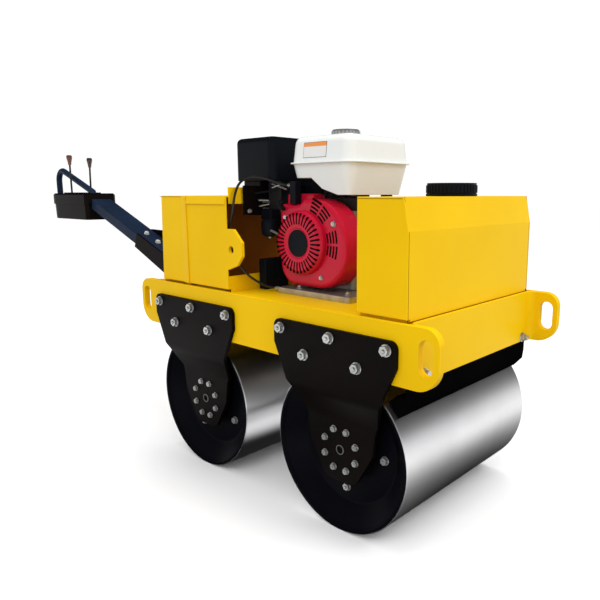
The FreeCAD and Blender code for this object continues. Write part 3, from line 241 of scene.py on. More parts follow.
@dataclass(frozen=True)
class Finish:
    """A surface finish: two colours that drift into each other, gloss and fine grain."""

    name: str
    slot: str
    colour: Point
    shade: Point
    metallic: float = 0.0
    gloss: Pair = (0.35, 0.45)
    patch: float = 5.0
    grain: float = 300.0
    relief: float = 0.04
    stretch: Point = (1.0, 1.0, 1.0)
    coat: float = 0.0
    specular: float = 0.5
    brushed: float = 0.0

    @lru_cache(maxsize=None)
    def material(self) -> bpy.types.Material:
        """Build the finish once as a node material on Object coordinates.

        Returns:
            The material.
        """
        made = bpy.data.materials.new(self.name)
        made.use_nodes = True
        wiring = Wiring(made.node_tree)
        place = wiring.add("TexCoord", "Object", {})
        drift = wiring.add("TexNoise", "Fac", {
            "Vector": place, "Scale": self.patch, "Detail": DRIFT_DETAIL})
        colours = made.node_tree.nodes.new("ShaderNodeValToRGB")
        stops = zip(colours.color_ramp.elements, DRIFT_STOPS, (self.shade, self.colour))
        for stop, position, colour in stops:
            stop.position, stop.color = position, (*colour, 1.0)
        wiring.feed(colours, {"Fac": drift})
        stretched = wiring.add("Mapping", "Vector", {"Vector": place, "Scale": self.stretch})
        fine = wiring.add("TexNoise", "Fac", {
            "Vector": stretched, "Scale": self.grain, "Detail": GRAIN_DETAIL})
        shader = made.node_tree.nodes["Principled BSDF"]
        wiring.feed(shader, {
            "Metallic": self.metallic,
            "Specular IOR Level": self.specular,
            "Coat Weight": self.coat,
            "Coat Roughness": COAT_ROUGHNESS,
            "Anisotropic": self.brushed,
            "Base Color": colours.outputs["Color"],
            "Roughness": wiring.add("MapRange", "Result", {
                "Value": fine, "To Min": self.gloss[0], "To Max": self.gloss[1]}),
            "Normal": wiring.add("Bump", "Normal", {
                "Height": fine, "Strength": self.relief, "Distance": RELIEF_DEPTH}),
        })
        if self.brushed:
            wiring.feed(shader, {"Tangent": wiring.add("CombineXYZ", "Vector", {"Y": 1.0})})
        return made


YELLOW = Finish("golden_yellow_paint", "yellow_paint", (0.87, 0.535, 0.003),
                (0.81, 0.490, 0.002), gloss=(0.34, 0.44), patch=3.0, relief=0.03,
                specular=0.06)
BLACK = Finish("warm_black_paint", "black_paint", (0.0050, 0.0034, 0.0027),
               (0.0034, 0.0024, 0.0020), gloss=(0.38, 0.50), relief=0.06, specular=0.04)
BLUE_BLACK = Finish("blue_black_paint", "black_paint", (0.0120, 0.0230, 0.0500),
                    (0.0085, 0.0165, 0.0370), gloss=(0.34, 0.46), relief=0.06, specular=0.05)
STEEL = Finish("rolled_drum_steel", "drum_steel", (0.72, 0.72, 0.73), (0.66, 0.66, 0.67),
               metallic=1.0, gloss=(0.36, 0.42), patch=6.0, grain=900.0, relief=0.06,
               stretch=(0.02, 1.0, 0.02), brushed=0.96)
RIM_BLACK = Finish("drum_recess_paint", "black_paint", (0.0038, 0.0040, 0.0062),
                   (0.0024, 0.0026, 0.0042), gloss=(0.30, 0.42), relief=0.05, specular=0.03)
MATT_BLACK = Finish("matt_black_paint", "black_paint", (0.0030, 0.0026, 0.0028),
                    (0.0020, 0.0018, 0.0020), gloss=(0.60, 0.75), relief=0.10, specular=0.0)
# Painted shade: a dark brown that stands in for the deep shade on the yellow cabinet's inner
# walls.
PAINTED_INTERIOR_SHADE = Finish("brown_undercoat", "yellow_paint", (0.38, 0.130, 0.006),
                   (0.28, 0.090, 0.004), gloss=(0.55, 0.70), specular=0.1)
RED = Finish("glossy_red_paint", "red_paint", (0.50, 0.006, 0.030), (0.42, 0.004, 0.023),
             gloss=(0.20, 0.28), relief=0.03, specular=0.22)
WHITE = Finish("cream_white_paint", "white_paint", (0.79, 0.81, 0.79), (0.76, 0.78, 0.76),
               gloss=(0.22, 0.30), relief=0.02, specular=0.4)
ALLOY = Finish("cast_alloy", "cast_alloy", (0.42, 0.42, 0.41), (0.32, 0.32, 0.31),
               metallic=0.85, gloss=(0.45, 0.62), grain=500.0, relief=0.25)
PLASTIC = Finish("black_plastic", "black_plastic", (0.0050, 0.0070, 0.0100),
                 (0.0035, 0.0048, 0.0070), gloss=(0.38, 0.50), grain=700.0, relief=0.12,
                 specular=0.07)
ZINC = Finish("zinc_plate", "zinc", (0.54, 0.55, 0.54), (0.40, 0.41, 0.40), metallic=0.8,
              gloss=(0.28, 0.40), patch=40.0, relief=0.05)
DARK_STEEL = Finish("heatproof_black", "dark_steel", (0.030, 0.028, 0.027),
                    (0.018, 0.017, 0.016), metallic=0.3, gloss=(0.55, 0.70), relief=0.2)
IRON = Finish("machined_iron", "cast_iron", (0.22, 0.21, 0.20), (0.15, 0.145, 0.14),
              metallic=0.7, gloss=(0.40, 0.55), relief=0.15)
RUBBER = Finish("cable_rubber", "cable_rubber", (0.012, 0.012, 0.012), (0.008, 0.008, 0.008),
                gloss=(0.45, 0.60), grain=900.0, relief=0.1)
# Painted shade: a brown that stands in for the shade in the sheets' gaps and folds.
SEAM_SHADE = Finish("shadowed_seam", "yellow_paint", (0.24, 0.110, 0.003),
                    (0.18, 0.080, 0.002), gloss=(0.6, 0.7), specular=0.0)
WASHER = Finish("bright_washer", "zinc", (0.78, 0.78, 0.77), (0.64, 0.64, 0.63),
                metallic=0.3, gloss=(0.25, 0.35), patch=40.0, relief=0.05)
KNOB_BROWN = Finish("brown_knob_plastic", "black_plastic", (0.12, 0.028, 0.010),
                    (0.11, 0.030, 0.013), gloss=(0.25, 0.35), coat=0.3)
KNOB_DARK = Finish("dark_knob_plastic", "black_plastic", (0.045, 0.018, 0.012),
                   (0.030, 0.013, 0.010), gloss=(0.25, 0.35), coat=0.3)
LABEL = Finish("blank_label", "white_paint", (0.78, 0.77, 0.75), (0.74, 0.73, 0.71),
               gloss=(0.35, 0.45))
ORANGE = Finish("orange_label_band", "white_paint", (0.85, 0.30, 0.06), (0.80, 0.27, 0.05),
                gloss=(0.35, 0.45))
CONSOLE_BLACK = replace(BLACK, name="console_plastic", slot="black_plastic")
BLOCK_BLACK = replace(PLASTIC, name="throttle_block_black", slot="dark_steel")
ROD_DARK = replace(DARK_STEEL, name="dark_plated_rod", slot="zinc")
# Painted shade: a near black that stands in for the shade inside slots, vents and holes.
HOLLOW_SHADE = Finish("dark_hollow", "black_plastic", (0.004, 0.004, 0.004), (0.003, 0.003, 0.003),
                gloss=(0.7, 0.8), specular=0.02)


# ------------------------------ shapes


class Shape:
    """A mesh under way, shaped with bmesh operators in the machine's frame."""

    corner_facets: int = 5
    vent_depth: float = 0.0014
    vent_round: float = 0.45
    coil_root: float = 0.62
    on_axis: float = 1e-7
    weld: float = 1e-6

    def __init__(self) -> None:
        """Start with an empty mesh."""
        self.mesh = bmesh.new()

    def dots(self, spots: Iterable[Sequence[float]]) -> list[bmesh.types.BMVert]:
        """Add a vertex at each of some points."""
        return [bmesh.ops.create_vert(self.mesh, co=spot)["vert"][0] for spot in spots]

    def soften(self, verts: Iterable[bmesh.types.BMVert], width: float, segments: int,
               sharp: float = 30.0) -> None:
        """Round the sharp edges between some vertices.

        Args:
            verts: Vertices whose own edges may be rounded.
            width: Width of the round.
            segments: Facets across the round.
            sharp: Edges with a smaller angle, in degrees, stay as they are.
        """
        if width <= 0:
            return
        chosen = set(verts)
        limit = math.radians(sharp)
        edges = {edge for vert in chosen for edge in vert.link_edges
                 if len(edge.link_faces) == 2 and edge.other_vert(vert) in chosen
                 and edge.calc_face_angle(0.0) > limit}
        bmesh.ops.bevel(self.mesh, geom=list(edges), offset=width, offset_type="OFFSET",
                        segments=segments, profile=0.5, affect="EDGES", clamp_overlap=True,
                        material=-1)

    def box(self, corner: Sequence[float], opposite: Sequence[float], soft: float = 0.0,
            turn: Matrix | None = None) -> None:
        """Add a box between two opposite corners, with rounded edges.

        Args:
            corner: One of its corners.
            opposite: The opposite corner.
            soft: Width of its rounded edges.
            turn: A turn about the box's own middle.
        """
        low, high = (Vector([*map(pick, corner, opposite)]) for pick in (min, max))
        turned = (turn or Matrix.Identity(3)).to_4x4()
        place = Matrix.Translation((low + high) / 2) @ turned
        place = place @ Matrix.Diagonal((*(high - low), 1.0))
        made = bmesh.ops.create_cube(self.mesh, size=1.0, matrix=place)
        self.soften(made["verts"], soft, segments=2)

    def box_ring(self, count: int, centre: Vector, arm: Vector, half: Vector, soft: float,
                 axis: Axis = Axis.Z) -> None:
        """Add a ring of boxes that turn with their place on it.

        Args:
            count: How many boxes.
            centre: Middle of the ring.
            arm: From there to the first box.
            half: Half of a box's size.
            soft: Width of their rounded edges.
            axis: Axis of the ring.
        """
        for number in range(count):
            turn = Matrix.Rotation(number * 2 * math.pi / count, 3, axis.name)
            spot = centre + turn @ arm
            self.box(spot - half, spot + half, soft, turn)

    def prism(self, outline: Sequence[Pair], axis: Axis, start: float, depth: float,
              corner: float = 0.0) -> None:
        """Add an outline pushed out along an axis.

        Args:
            outline: Corners in the plane across the axis: (x, y), (x, z) or (y, z).
            axis: The axis it is pushed along.
            start: Where it starts on that axis.
            depth: How far it goes.
            corner: Radius of the outline's corners.
        """
        place = axis.place
        verts = self.dots([(*spot[:place], start, *spot[place:]) for spot in outline])
        face = bmesh.ops.contextual_create(self.mesh, geom=verts)["faces"][0]
        if corner > 0:
            rounded = bmesh.ops.bevel(self.mesh, geom=verts, offset=corner, offset_type="OFFSET",
                                      segments=self.corner_facets, profile=0.5,
                                      affect="VERTICES", material=-1)
            face = max((f for v in rounded["verts"] for f in v.link_faces),
                       key=lambda f: f.calc_area())
        pushed = bmesh.ops.extrude_face_region(self.mesh, geom=[face], use_keep_orig=True)
        far = [v for v in pushed["geom"] if isinstance(v, bmesh.types.BMVert)]
        bmesh.ops.translate(self.mesh, verts=far, vec=axis.vector() * depth)

    def lathe(self, profile: Sequence[Pair], centre: Vector, axis: Vector, steps: int) -> None:
        """Add a profile spun a full turn about an axis, closed where it ends off the axis.

        Args:
            profile: (radius, distance along the axis) corners.
            centre: Point on the axis where the distance is 0.
            axis: Direction of the axis.
            steps: Facets round the turn.
        """
        axis = Vector(axis).normalized()
        side = axis.orthogonal().normalized()
        verts = self.dots([centre + side * out + axis * along for out, along in profile])
        edges = [self.mesh.edges.new(pair) for pair in zip(verts, verts[1:])]
        if profile[0][0] > 0 and profile[-1][0] > 0:
            edges.append(self.mesh.edges.new((verts[-1], verts[0])))
        spun = bmesh.ops.spin(self.mesh, geom=[*verts, *edges], cent=centre, axis=axis,
                              angle=2 * math.pi, steps=steps, use_merge=True)
        last = [v for v in spun["geom_last"] if isinstance(v, bmesh.types.BMVert)]
        poles = {v for v in self.mesh.verts
                 if v.is_valid and (v.co - centre).cross(axis).length < self.on_axis}
        bmesh.ops.remove_doubles(self.mesh, verts=[*{*last, *verts, *poles}], dist=self.weld)

    def hexagon(self, centre: Vector, axis: Vector, across: float, height: float,
                spin: float = 0.0) -> None:
        """Add a hexagon head or nut that stands on a face.

        Args:
            centre: Middle of its foot.
            axis: Direction away from the face.
            across: Distance over its flats.
            height: How high it stands.
            spin: Turn about its own axis, in radians.
        """
        axis = Vector(axis).normalized()
        place = Matrix.Translation(centre + axis * height / 2)
        place = place @ axis.to_track_quat("Z", "Y").to_matrix().to_4x4()
        place = place @ Matrix.Rotation(spin, 4, "Z")
        radius = across / math.sqrt(3)
        made = bmesh.ops.create_cone(self.mesh, cap_ends=True, cap_tris=False, segments=6,
                                     radius1=radius, radius2=radius, depth=height, matrix=place)
        self.soften(made["verts"], across * 0.06, segments=2)

    def bolt(self, centre: Vector, axis: Vector, across: float, spin: float = 0.0) -> None:
        """Add a bolt head on its washer.

        Args:
            centre: Middle of the washer's foot.
            axis: Direction away from the face.
            across: Distance over the head's flats.
            spin: Turn of the head, in radians.
        """
        axis = Vector(axis).normalized()
        washer, outer, end, tip = (across * part for part in (0.12, 0.62, 0.20, 0.16))
        self.lathe([(0, 0), (outer, 0), (outer, washer * 0.7), (outer * 0.94, washer),
                    (0, washer)], centre, axis, steps=20)
        self.hexagon(centre + axis * washer, axis, across * 0.92, across * 0.38, spin)
        self.lathe([(0, 0), (end, 0), (end, tip * 0.75), (end * 0.8, tip), (0, tip)],
                   centre + axis * (washer + across * 0.36), axis, steps=12)

    def rod(self, start: Vector, end: Vector, radius: float, coils: int = 0) -> None:
        """Add a round rod, or a coil spring's ribbed outline, between two points.

        Args:
            start: One end.
            end: Other end.
            radius: Its radius.
            coils: Ribs along it, or 0 for a plain rod.
        """
        length = (end - start).length
        profile = [(0.0, 0.0), (radius, 0.0)]
        for rib in range(coils):
            profile += [(radius * self.coil_root, (rib + 0.5) * length / coils),
                        (radius, (rib + 1.0) * length / coils)]
        if not coils:
            profile.append((radius, length))
        self.lathe([*profile, (0.0, length)], start, end - start, steps=16)

    def vent(self, axis: Axis, start: float, along: float, z: float, size: Pair) -> None:
        """Inlay one upright vent with rounded ends in a face.

        Args:
            axis: The axis that the face looks along.
            start: Where the inlay starts on that axis.
            along: Middle of the vent along the face.
            z: Its middle height.
            size: Its width and height.
        """
        wide, tall = size[0] / 2, size[1] / 2
        outline = [(along - wide, z - tall), (along + wide, z - tall),
                   (along + wide, z + tall), (along - wide, z + tall)]
        self.prism(outline, axis, start, self.vent_depth, corner=size[0] * self.vent_round)

    def publish(self, name: str, finish: Finish, body: Body = Body.CHASSIS,
                replaces: Sequence[str] = (), crease: float = 40.0,
                turn_out: bool = True) -> bpy.types.Object:
        """Turn the mesh into a piece, with even shading over its rounded edges.

        Args:
            name: Name of the piece.
            finish: Its surface finish.
            body: The body that it rides on.
            replaces: CAD nodes that it stands for.
            crease: Sharpest turn that is still shaded as a curve, in degrees.
            turn_out: Whether its faces have yet to be turned outwards.

        Returns:
            The piece.
        """
        if turn_out:
            loose = [v for v in self.mesh.verts if not v.link_faces]
            bmesh.ops.delete(self.mesh, geom=loose, context="VERTS")
            bmesh.ops.recalc_face_normals(self.mesh, faces=self.mesh.faces)
        data = bpy.data.meshes.new(name)
        self.mesh.to_mesh(data)
        self.mesh.free()
        data.shade_smooth()
        data.set_sharp_from_angle(angle=math.radians(crease))
        data.materials.append(finish.material())
        piece = stand(name, data)
        even = piece.modifiers.new("even_shading", "WEIGHTED_NORMAL")
        even.keep_sharp = True
        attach(piece, body.value)
        if replaces:
            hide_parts(*replaces)
        LOG.info("%s: %d faces on %s", name, len(data.polygons), body.value)
        return piece


def eased(node: str, finish: Finish, width: float, body: Body = Body.CHASSIS,
          segments: int = 3, crease: float = 40.0) -> bpy.types.Object:
    """Stand a copy of a CAD node in its place, with its sharp edges eased.

    Args:
        node: The CAD node.
        finish: Its surface finish.
        width: Width of the eased edges.
        body: The body that it rides on.
        segments: Facets across the eased edges.
        crease: Sharpest turn that is still shaded as a curve, in degrees.

    Returns:
        The piece.
    """
    shape = Shape()
    mesh = shape.mesh
    mesh.from_mesh(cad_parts[node].data)
    bmesh.ops.remove_doubles(mesh, verts=mesh.verts, dist=CAD_WELD)
    bmesh.ops.dissolve_limit(mesh, angle_limit=math.radians(CAD_FLAT), verts=mesh.verts,
                             edges=mesh.edges)
    shape.soften(mesh.verts, width, segments, CAD_EDGE)
    return shape.publish(f"{node}_finished", finish, body, [node], crease, turn_out=False)


def dress(body: Body, *rows: tuple[str, Finish, float]) -> None:
    """Ease some CAD nodes of one body, each given with its finish and the width of its edges."""
    for node, finish, width in rows:
        eased(node, finish, width, body)


# ------------------------------ studio


@dataclass
class Studio:
    """Camera, pale floor and soft lights."""

    eye: Point = (1.2095, -1.3162, 0.8466)
    turn: float = 42.18
    fall: float = 10.68
    lens: float = 35.33
    sensor: float = 36.0
    nearest: float = 0.05
    shift: Pair = (-0.0623, 0.0070)
    floor_size: float = 60.0
    floor_tone: float = 0.98
    floor_roughness: float = 0.8
    bounced_tone: float = 0.45
    mirrored_near: Pair = (0.42, 0.0)
    mirrored_far: Pair = (1.20, 0.98)
    mirrored_sideways: float = 0.8
    card_place: float = 0.10
    card_near: Pair = (0.06, 1.3)
    card_far: Pair = (0.17, 0.02)
    card_sideways: float = 0.2
    sky: float = 1.03
    mirrored_low: Pair = (-0.06, 1.40)
    mirrored_high: Pair = (0.34, 0.04)
    lamp_aim: Point = (0.0, 0.0, 0.4)
    lamps: tuple[tuple[str, Point, float, float], ...] = (
        ("key", (1.6, -3.2, 3.4), 1.6, 42.0),
        ("front", (3.6, 0.8, 4.2), 1.6, 60.0),
        ("top", (0.0, 0.5, 4.5), 2.0, 40.0),
    )

    def build(self) -> None:
        """Make the camera, the floor and the lights."""
        lens = bpy.data.cameras.new("view")
        lens.lens = self.lens
        lens.sensor_width = self.sensor
        lens.shift_x, lens.shift_y = self.shift
        lens.clip_start = self.nearest
        camera = stand("view", lens)
        camera.location = SITE.at(*self.eye)
        camera.rotation_euler = Euler((math.radians(90 - self.fall), 0, math.radians(self.turn)))
        bpy.context.scene.camera = camera
        bpy.context.scene.view_settings.view_transform = "Standard"
        self.floor()
        self.room()
        self.hang_lamps()

    def floor(self) -> None:
        """Lay the pale floor, which reflections see dark near the machine.

        Between the drums reflections also see a bright strip, which no other light does.
        """
        mesh = bmesh.new()
        bmesh.ops.create_grid(mesh, x_segments=2, y_segments=2, size=self.floor_size / 2)
        data = bpy.data.meshes.new("floor")
        mesh.to_mesh(data)
        mesh.free()
        pale = bpy.data.materials.new("pale_floor")
        pale.use_nodes = True
        data.materials.append(pale)
        wiring = Wiring(pale.node_tree)
        around = self.distance(wiring, 0.0, self.mirrored_sideways)
        mirrored = wiring.fade(around, self.mirrored_near, self.mirrored_far)
        strip = self.distance(wiring, self.card_place, self.card_sideways)
        card = wiring.fade(strip, self.card_near, self.card_far)
        tone = wiring.switch("Diffuse", self.floor_tone, self.bounced_tone)
        wiring.feed(pale.node_tree.nodes["Principled BSDF"], {
            "Roughness": self.floor_roughness,
            "Specular IOR Level": 0.0,
            "Base Color": wiring.switch("Glossy", tone, mirrored),
            "Emission Strength": wiring.switch("Glossy", 0.0, card),
        })
        stand("floor", data)

    @staticmethod
    def distance(wiring: Wiring, x: float, sideways: float) -> Socket:
        """Measure the floor's distance from a point under the machine.

        Args:
            wiring: The floor's node tree.
            x: The point's place forwards of the middle of the axles.
            sideways: What a metre sideways counts for.

        Returns:
            The distance.
        """
        spot = wiring.add("TexCoord", "Object", {})
        scaled = wiring.add("Mapping", "Vector", {"Vector": spot, "Scale": (1.0, sideways, 1.0)})
        return wiring.add("VectorMath", "Value", {0: scaled, 1: SITE.at(x, 0.0, 0.0)},
                          operation="DISTANCE")

    def room(self) -> None:
        """Light the room evenly, with a sky that reflections see bright low and dark high."""
        world = bpy.data.worlds.new("room")
        world.use_nodes = True
        wiring = Wiring(world.node_tree)
        spot = wiring.add("TexCoord", "Generated", {})
        height = wiring.add("SeparateXYZ", "Z", {"Vector": spot})
        mirrored = wiring.fade(height, self.mirrored_low, self.mirrored_high)
        wiring.feed(world.node_tree.nodes["Background"], {
            "Color": (1.0, 1.0, 1.0, 1.0),
            "Strength": wiring.switch("Glossy", self.sky, mirrored),
        })
        world.cycles.sampling_method = "NONE"
        bpy.context.scene.world = world

    def hang_lamps(self) -> None:
        """Hang the soft lamps, which reflections don't see."""
        for name, spot, size, power in self.lamps:
            lamp = bpy.data.lights.new(name, "AREA")
            lamp.energy, lamp.size = power, size
            lit = stand(name, lamp)
            lit.location = SITE.at(*spot)
            lit.visible_glossy = False
            aim = SITE.at(*self.lamp_aim) - lit.location
            lit.rotation_euler = aim.to_track_quat("-Z", "Y").to_euler()


# ------------------------------ throttle cable


@dataclass
class ThrottleCable:
    """The free cable from the throttle block to the engine's foot."""

    diameter: float = 0.007
    length: float = 0.563
    ferrule: float = 0.0055
    ferrule_length: float = 0.018
    route: tuple[Point, ...] = (
        (0.008, -0.174, 0.868), (-0.018, -0.174, 0.868), (-0.042, -0.182, 0.874),
        (-0.068, -0.196, 0.885), (-0.096, -0.208, 0.892), (-0.115, -0.232, 0.891),
        (-0.121, -0.260, 0.873), (-0.122, -0.275, 0.836), (-0.126, -0.277, 0.802),
        (-0.141, -0.275, 0.769), (-0.155, -0.273, 0.734), (-0.153, -0.272, 0.698),
        (-0.139, -0.266, 0.665), (-0.122, -0.256, 0.635), (-0.107, -0.238, 0.609),
        (-0.089, -0.216, 0.590), (-0.071, -0.199, 0.580), (-0.052, -0.191, 0.578),
        (-0.035, -0.191, 0.578),
    )

    def build(self) -> None:
        """Lay the cable as one smooth line and put a ferrule on each end."""
        curve = bpy.data.curves.new("throttle_cable_line", "CURVE")
        curve.dimensions = "3D"
        curve.bevel_depth = self.diameter / 2
        curve.bevel_resolution = 4
        curve.use_fill_caps = True
        line = curve.splines.new("NURBS")
        points = [SITE.at(*point) for point in self.route]
        line.points.add(len(points) - 1)
        for knot, point in zip(line.points, points):
            knot.co = (*point, 1.0)
        line.order_u = 3
        line.use_endpoint_u = True
        line.resolution_u = 8
        curve.materials.append(RUBBER.material())
        cable = stand("throttle_cable_run", curve)
        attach(cable, Body.CHASSIS.value)
        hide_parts("throttle_cable")
        ends = Shape()
        for here, onward in ((points[0], points[1]), (points[-1], points[-2])):
            ends.lathe([(0, 0), (self.ferrule, 0), (self.ferrule, self.ferrule_length * 0.7),
                        (self.diameter * 0.56, self.ferrule_length), (0, self.ferrule_length)],
                       here, onward - here, steps=20)
        ferrules = ends.publish("throttle_cable_ferrules", ZINC)
        LOG.info("throttle cable laid")


# ------------------------------ drums


@dataclass
class Drum:
    """One steel drum: rolled shell, dished ends, weld beads and disc bolts."""

    end: str
    body: Body
    first_bolt: float
    shell_wall: float = 0.010
    rim_ease: float = 0.0015
    bare_edge: float = 0.0022
    lip: float = 0.006
    dish_depth: float = 0.046
    dish_flat: float = 0.152
    dish_fold: Point = (0.004, 0.003, 0.002)
    plate: float = 0.008
    boss_radius: float = 0.062
    boss_length: float = 0.070
    bore: float = 0.0255
    bolt_ring: float = 0.115
    bolt_across: float = 0.019
    bolt_count: int = 4
    bolt_turn: float = 0.4
    facets: int = 192
    end_facets: int = 128
    bead: float = 0.003

    def build(self) -> None:
        """Build the shell, both dished ends and what is bolted or welded to them."""
        low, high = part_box(f"{self.end}_drum_shell")
        centre = (low + high) / 2
        radius = (high.x - low.x) / 2
        half = (high.y - low.y) / 2
        inner = radius - self.shell_wall
        ease = self.rim_ease
        painted = radius - self.bare_edge
        shell, rim = Shape(), Shape()
        shell.lathe([(painted, -half), (radius - ease, -half), (radius, -half + ease),
                     (radius, half - ease), (radius - ease, half), (painted, half)],
                    centre, LEFTWARD, self.facets)
        shell.publish(f"{self.end}_drum_rolled_shell", STEEL, self.body,
                      [f"{self.end}_drum_shell"])
        rim.lathe([(inner, -half + ease), (inner + ease, -half), (painted, -half),
                   (painted, half), (inner + ease, half), (inner, half - ease)],
                  centre, LEFTWARD, self.facets)
        rim.publish(f"{self.end}_drum_painted_rim", RIM_BLACK, self.body)
        ends, beads, bolts = Shape(), Shape(), Shape()
        before, after, rise = self.dish_fold
        for side in (RIGHT, LEFT):
            outward = LEFTWARD * side
            flat = half - self.dish_depth
            lip = half - self.lip
            ends.lathe([(self.bore, flat), (self.dish_flat - before, flat),
                        (self.dish_flat + after, flat + rise), (inner, lip),
                        (inner, lip - self.plate), (self.dish_flat, flat - self.plate),
                        (self.boss_radius, flat - self.plate),
                        (self.boss_radius, flat - self.boss_length),
                        (self.bore, flat - self.boss_length)], centre, outward, self.end_facets)
            beads.lathe([(inner, lip + self.bead), (inner - self.bead, lip),
                         (inner, lip - self.bead * 0.4)], centre, outward, self.end_facets)
            for step in range(self.bolt_count):
                turn = math.radians(self.first_bolt) - step * 2 * math.pi / self.bolt_count
                spot = Vector((math.cos(turn), 0, math.sin(turn))) * self.bolt_ring
                bolts.bolt(centre + outward * flat + spot, outward, self.bolt_across,
                           spin=step * self.bolt_turn)
        ends.publish(f"{self.end}_drum_dished_ends", RIM_BLACK, self.body,
                     [f"{self.end}_drum_ends"])
        beads.publish(f"{self.end}_drum_weld_beads", RIM_BLACK, self.body)
        bolts.publish(f"{self.end}_drum_bolts", ZINC, self.body)


# ------------------------------ supports


@dataclass
class Supports:
    """The joggled plates that carry the stub axles, and their bolts."""

    face: float = 0.324
    leg_face: float = 0.284
    upper_bolts: tuple[float, ...] = (-0.170, 0.0, 0.170)
    upper_z: float = 0.509
    lower_bolts: tuple[float, ...] = (-0.086, 0.086)
    lower_z: float = 0.452
    bolt_across: float = 0.024
    ring: float = 0.055
    ring_count: int = 8
    ring_across: float = 0.015
    bolt_turn: float = 0.37
    ring_turn: float = 0.51
    end_ring: Pair = (0.013, 0.0104)
    end_ring_rise: float = 0.002
    end_hole_rise: float = 0.0006

    def build(self) -> None:
        """Dress the four plates and stub axles and set their bolts."""
        for end, axle in (("front", SITE.front_axle), ("rear", SITE.rear_axle)):
            for name, side in (("right", RIGHT), ("left", LEFT)):
                self.fit_plate(f"{end}_{name}", axle, side)

    def fit_plate(self, corner: str, axle: float, side: int) -> None:
        """Finish one plate with its bolts.

        Args:
            corner: Such as front_right.
            axle: X of the axle.
            side: Which side of the machine.
        """
        outward = LEFTWARD * side
        dress(Body.CHASSIS, (f"{corner}_support", BLACK, 0.0015),
              (f"{corner}_stub_axle", BLACK, 0.0012))
        bolts, ring, centre, hole = Shape(), Shape(), Shape(), Shape()
        rows = [(x, self.upper_z) for x in self.upper_bolts]
        rows += [(x, self.lower_z) for x in self.lower_bolts]
        for number, (x, z) in enumerate(rows):
            bolts.bolt(Vector((axle + x, side * self.face, z)), outward, self.bolt_across,
                       spin=number * self.bolt_turn)
        bolts.publish(f"{corner}_support_bolts", ZINC)
        hub = Vector((axle, side * self.leg_face, SITE.axle_z))
        for number in range(self.ring_count):
            turn = (number + 0.5) * 2 * math.pi / self.ring_count
            spot = Vector((math.cos(turn), 0, math.sin(turn))) * self.ring
            ring.bolt(hub + spot, outward, self.ring_across, spin=number * self.ring_turn)
        ring.publish(f"{corner}_axle_bolts", ZINC)
        (outer, bore), rise, raised = self.end_ring, self.end_ring_rise, self.end_hole_rise
        centre.lathe([(bore, 0), (outer, 0), (outer, rise / 2), (outer * 0.95, rise),
                      (bore, rise)], hub, outward, steps=32)
        centre.publish(f"{corner}_axle_end_ring", IRON)
        # Painted shade: a dark disc stands in for the shade inside the stub axle's bore.
        hole.lathe([(0, 0), (bore, 0), (bore, raised), (0, raised)], hub, outward, steps=24)
        hole.publish(f"{corner}_axle_end_hole", HOLLOW_SHADE)


# ------------------------------ frame


@dataclass
class Chassis:
    """Side beams, end panels, deck and cross members, with their bolts."""

    panel_face: float = 0.4995
    panel_bolts: tuple[Pair, ...] = ((-0.247, 0.451), (0.254, 0.442))
    bolt_across: float = 0.022
    bolt_reach: float = 0.018
    flange_bolts: int = 6
    flange_inset: Pair = (0.012, 0.006)
    flange_turn: float = 0.3
    flange_head: Pair = (0.010, 0.006)

    def build(self) -> None:
        """Dress the frame and add its small parts."""
        dress(Body.CHASSIS, ("right_side_beam", YELLOW, 0.0018),
              ("left_side_beam", YELLOW, 0.0018), ("front_end_panel", YELLOW, 0.0015),
              ("rear_end_panel", YELLOW, 0.0015), ("deck", YELLOW, 0.001),
              ("cross_members", BLACK, 0.001), ("vibrator_tube", BLACK, 0.001),
              ("front_scraper", MATT_BLACK, 0.001), ("rear_scraper", MATT_BLACK, 0.001))
        bolts = Shape()
        for end in (1, -1):
            outward = FORWARD * end
            for y, z in self.panel_bolts:
                spot = SITE.at(end * self.panel_face, end * y, z)
                bolts.bolt(spot, outward, self.bolt_across)
                bolts.rod(spot, spot + outward * self.bolt_reach, self.bolt_across * 0.36)
        bolts.publish("end_panel_bolts", ZINC)
        self.bolt_flanges()

    def bolt_flanges(self) -> None:
        """Bolt the vibrator tube's flanges round the tube."""
        low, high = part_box("vibrator_tube")
        centre = (low + high) / 2
        sideways, inwards = self.flange_inset
        ring = (high.z - low.z) / 2 - inwards
        bolts = Shape()
        for side in (RIGHT, LEFT):
            inner = Vector((centre.x, side * (high.y - sideways), centre.z))
            for number in range(self.flange_bolts):
                turn = number * 2 * math.pi / self.flange_bolts + self.flange_turn
                spot = inner + Vector((math.cos(turn), 0, math.sin(turn))) * ring
                bolts.hexagon(spot, -LEFTWARD * side, *self.flange_head)
        bolts.publish("vibrator_flange_bolts", ZINC)


# ------------------------------ covers


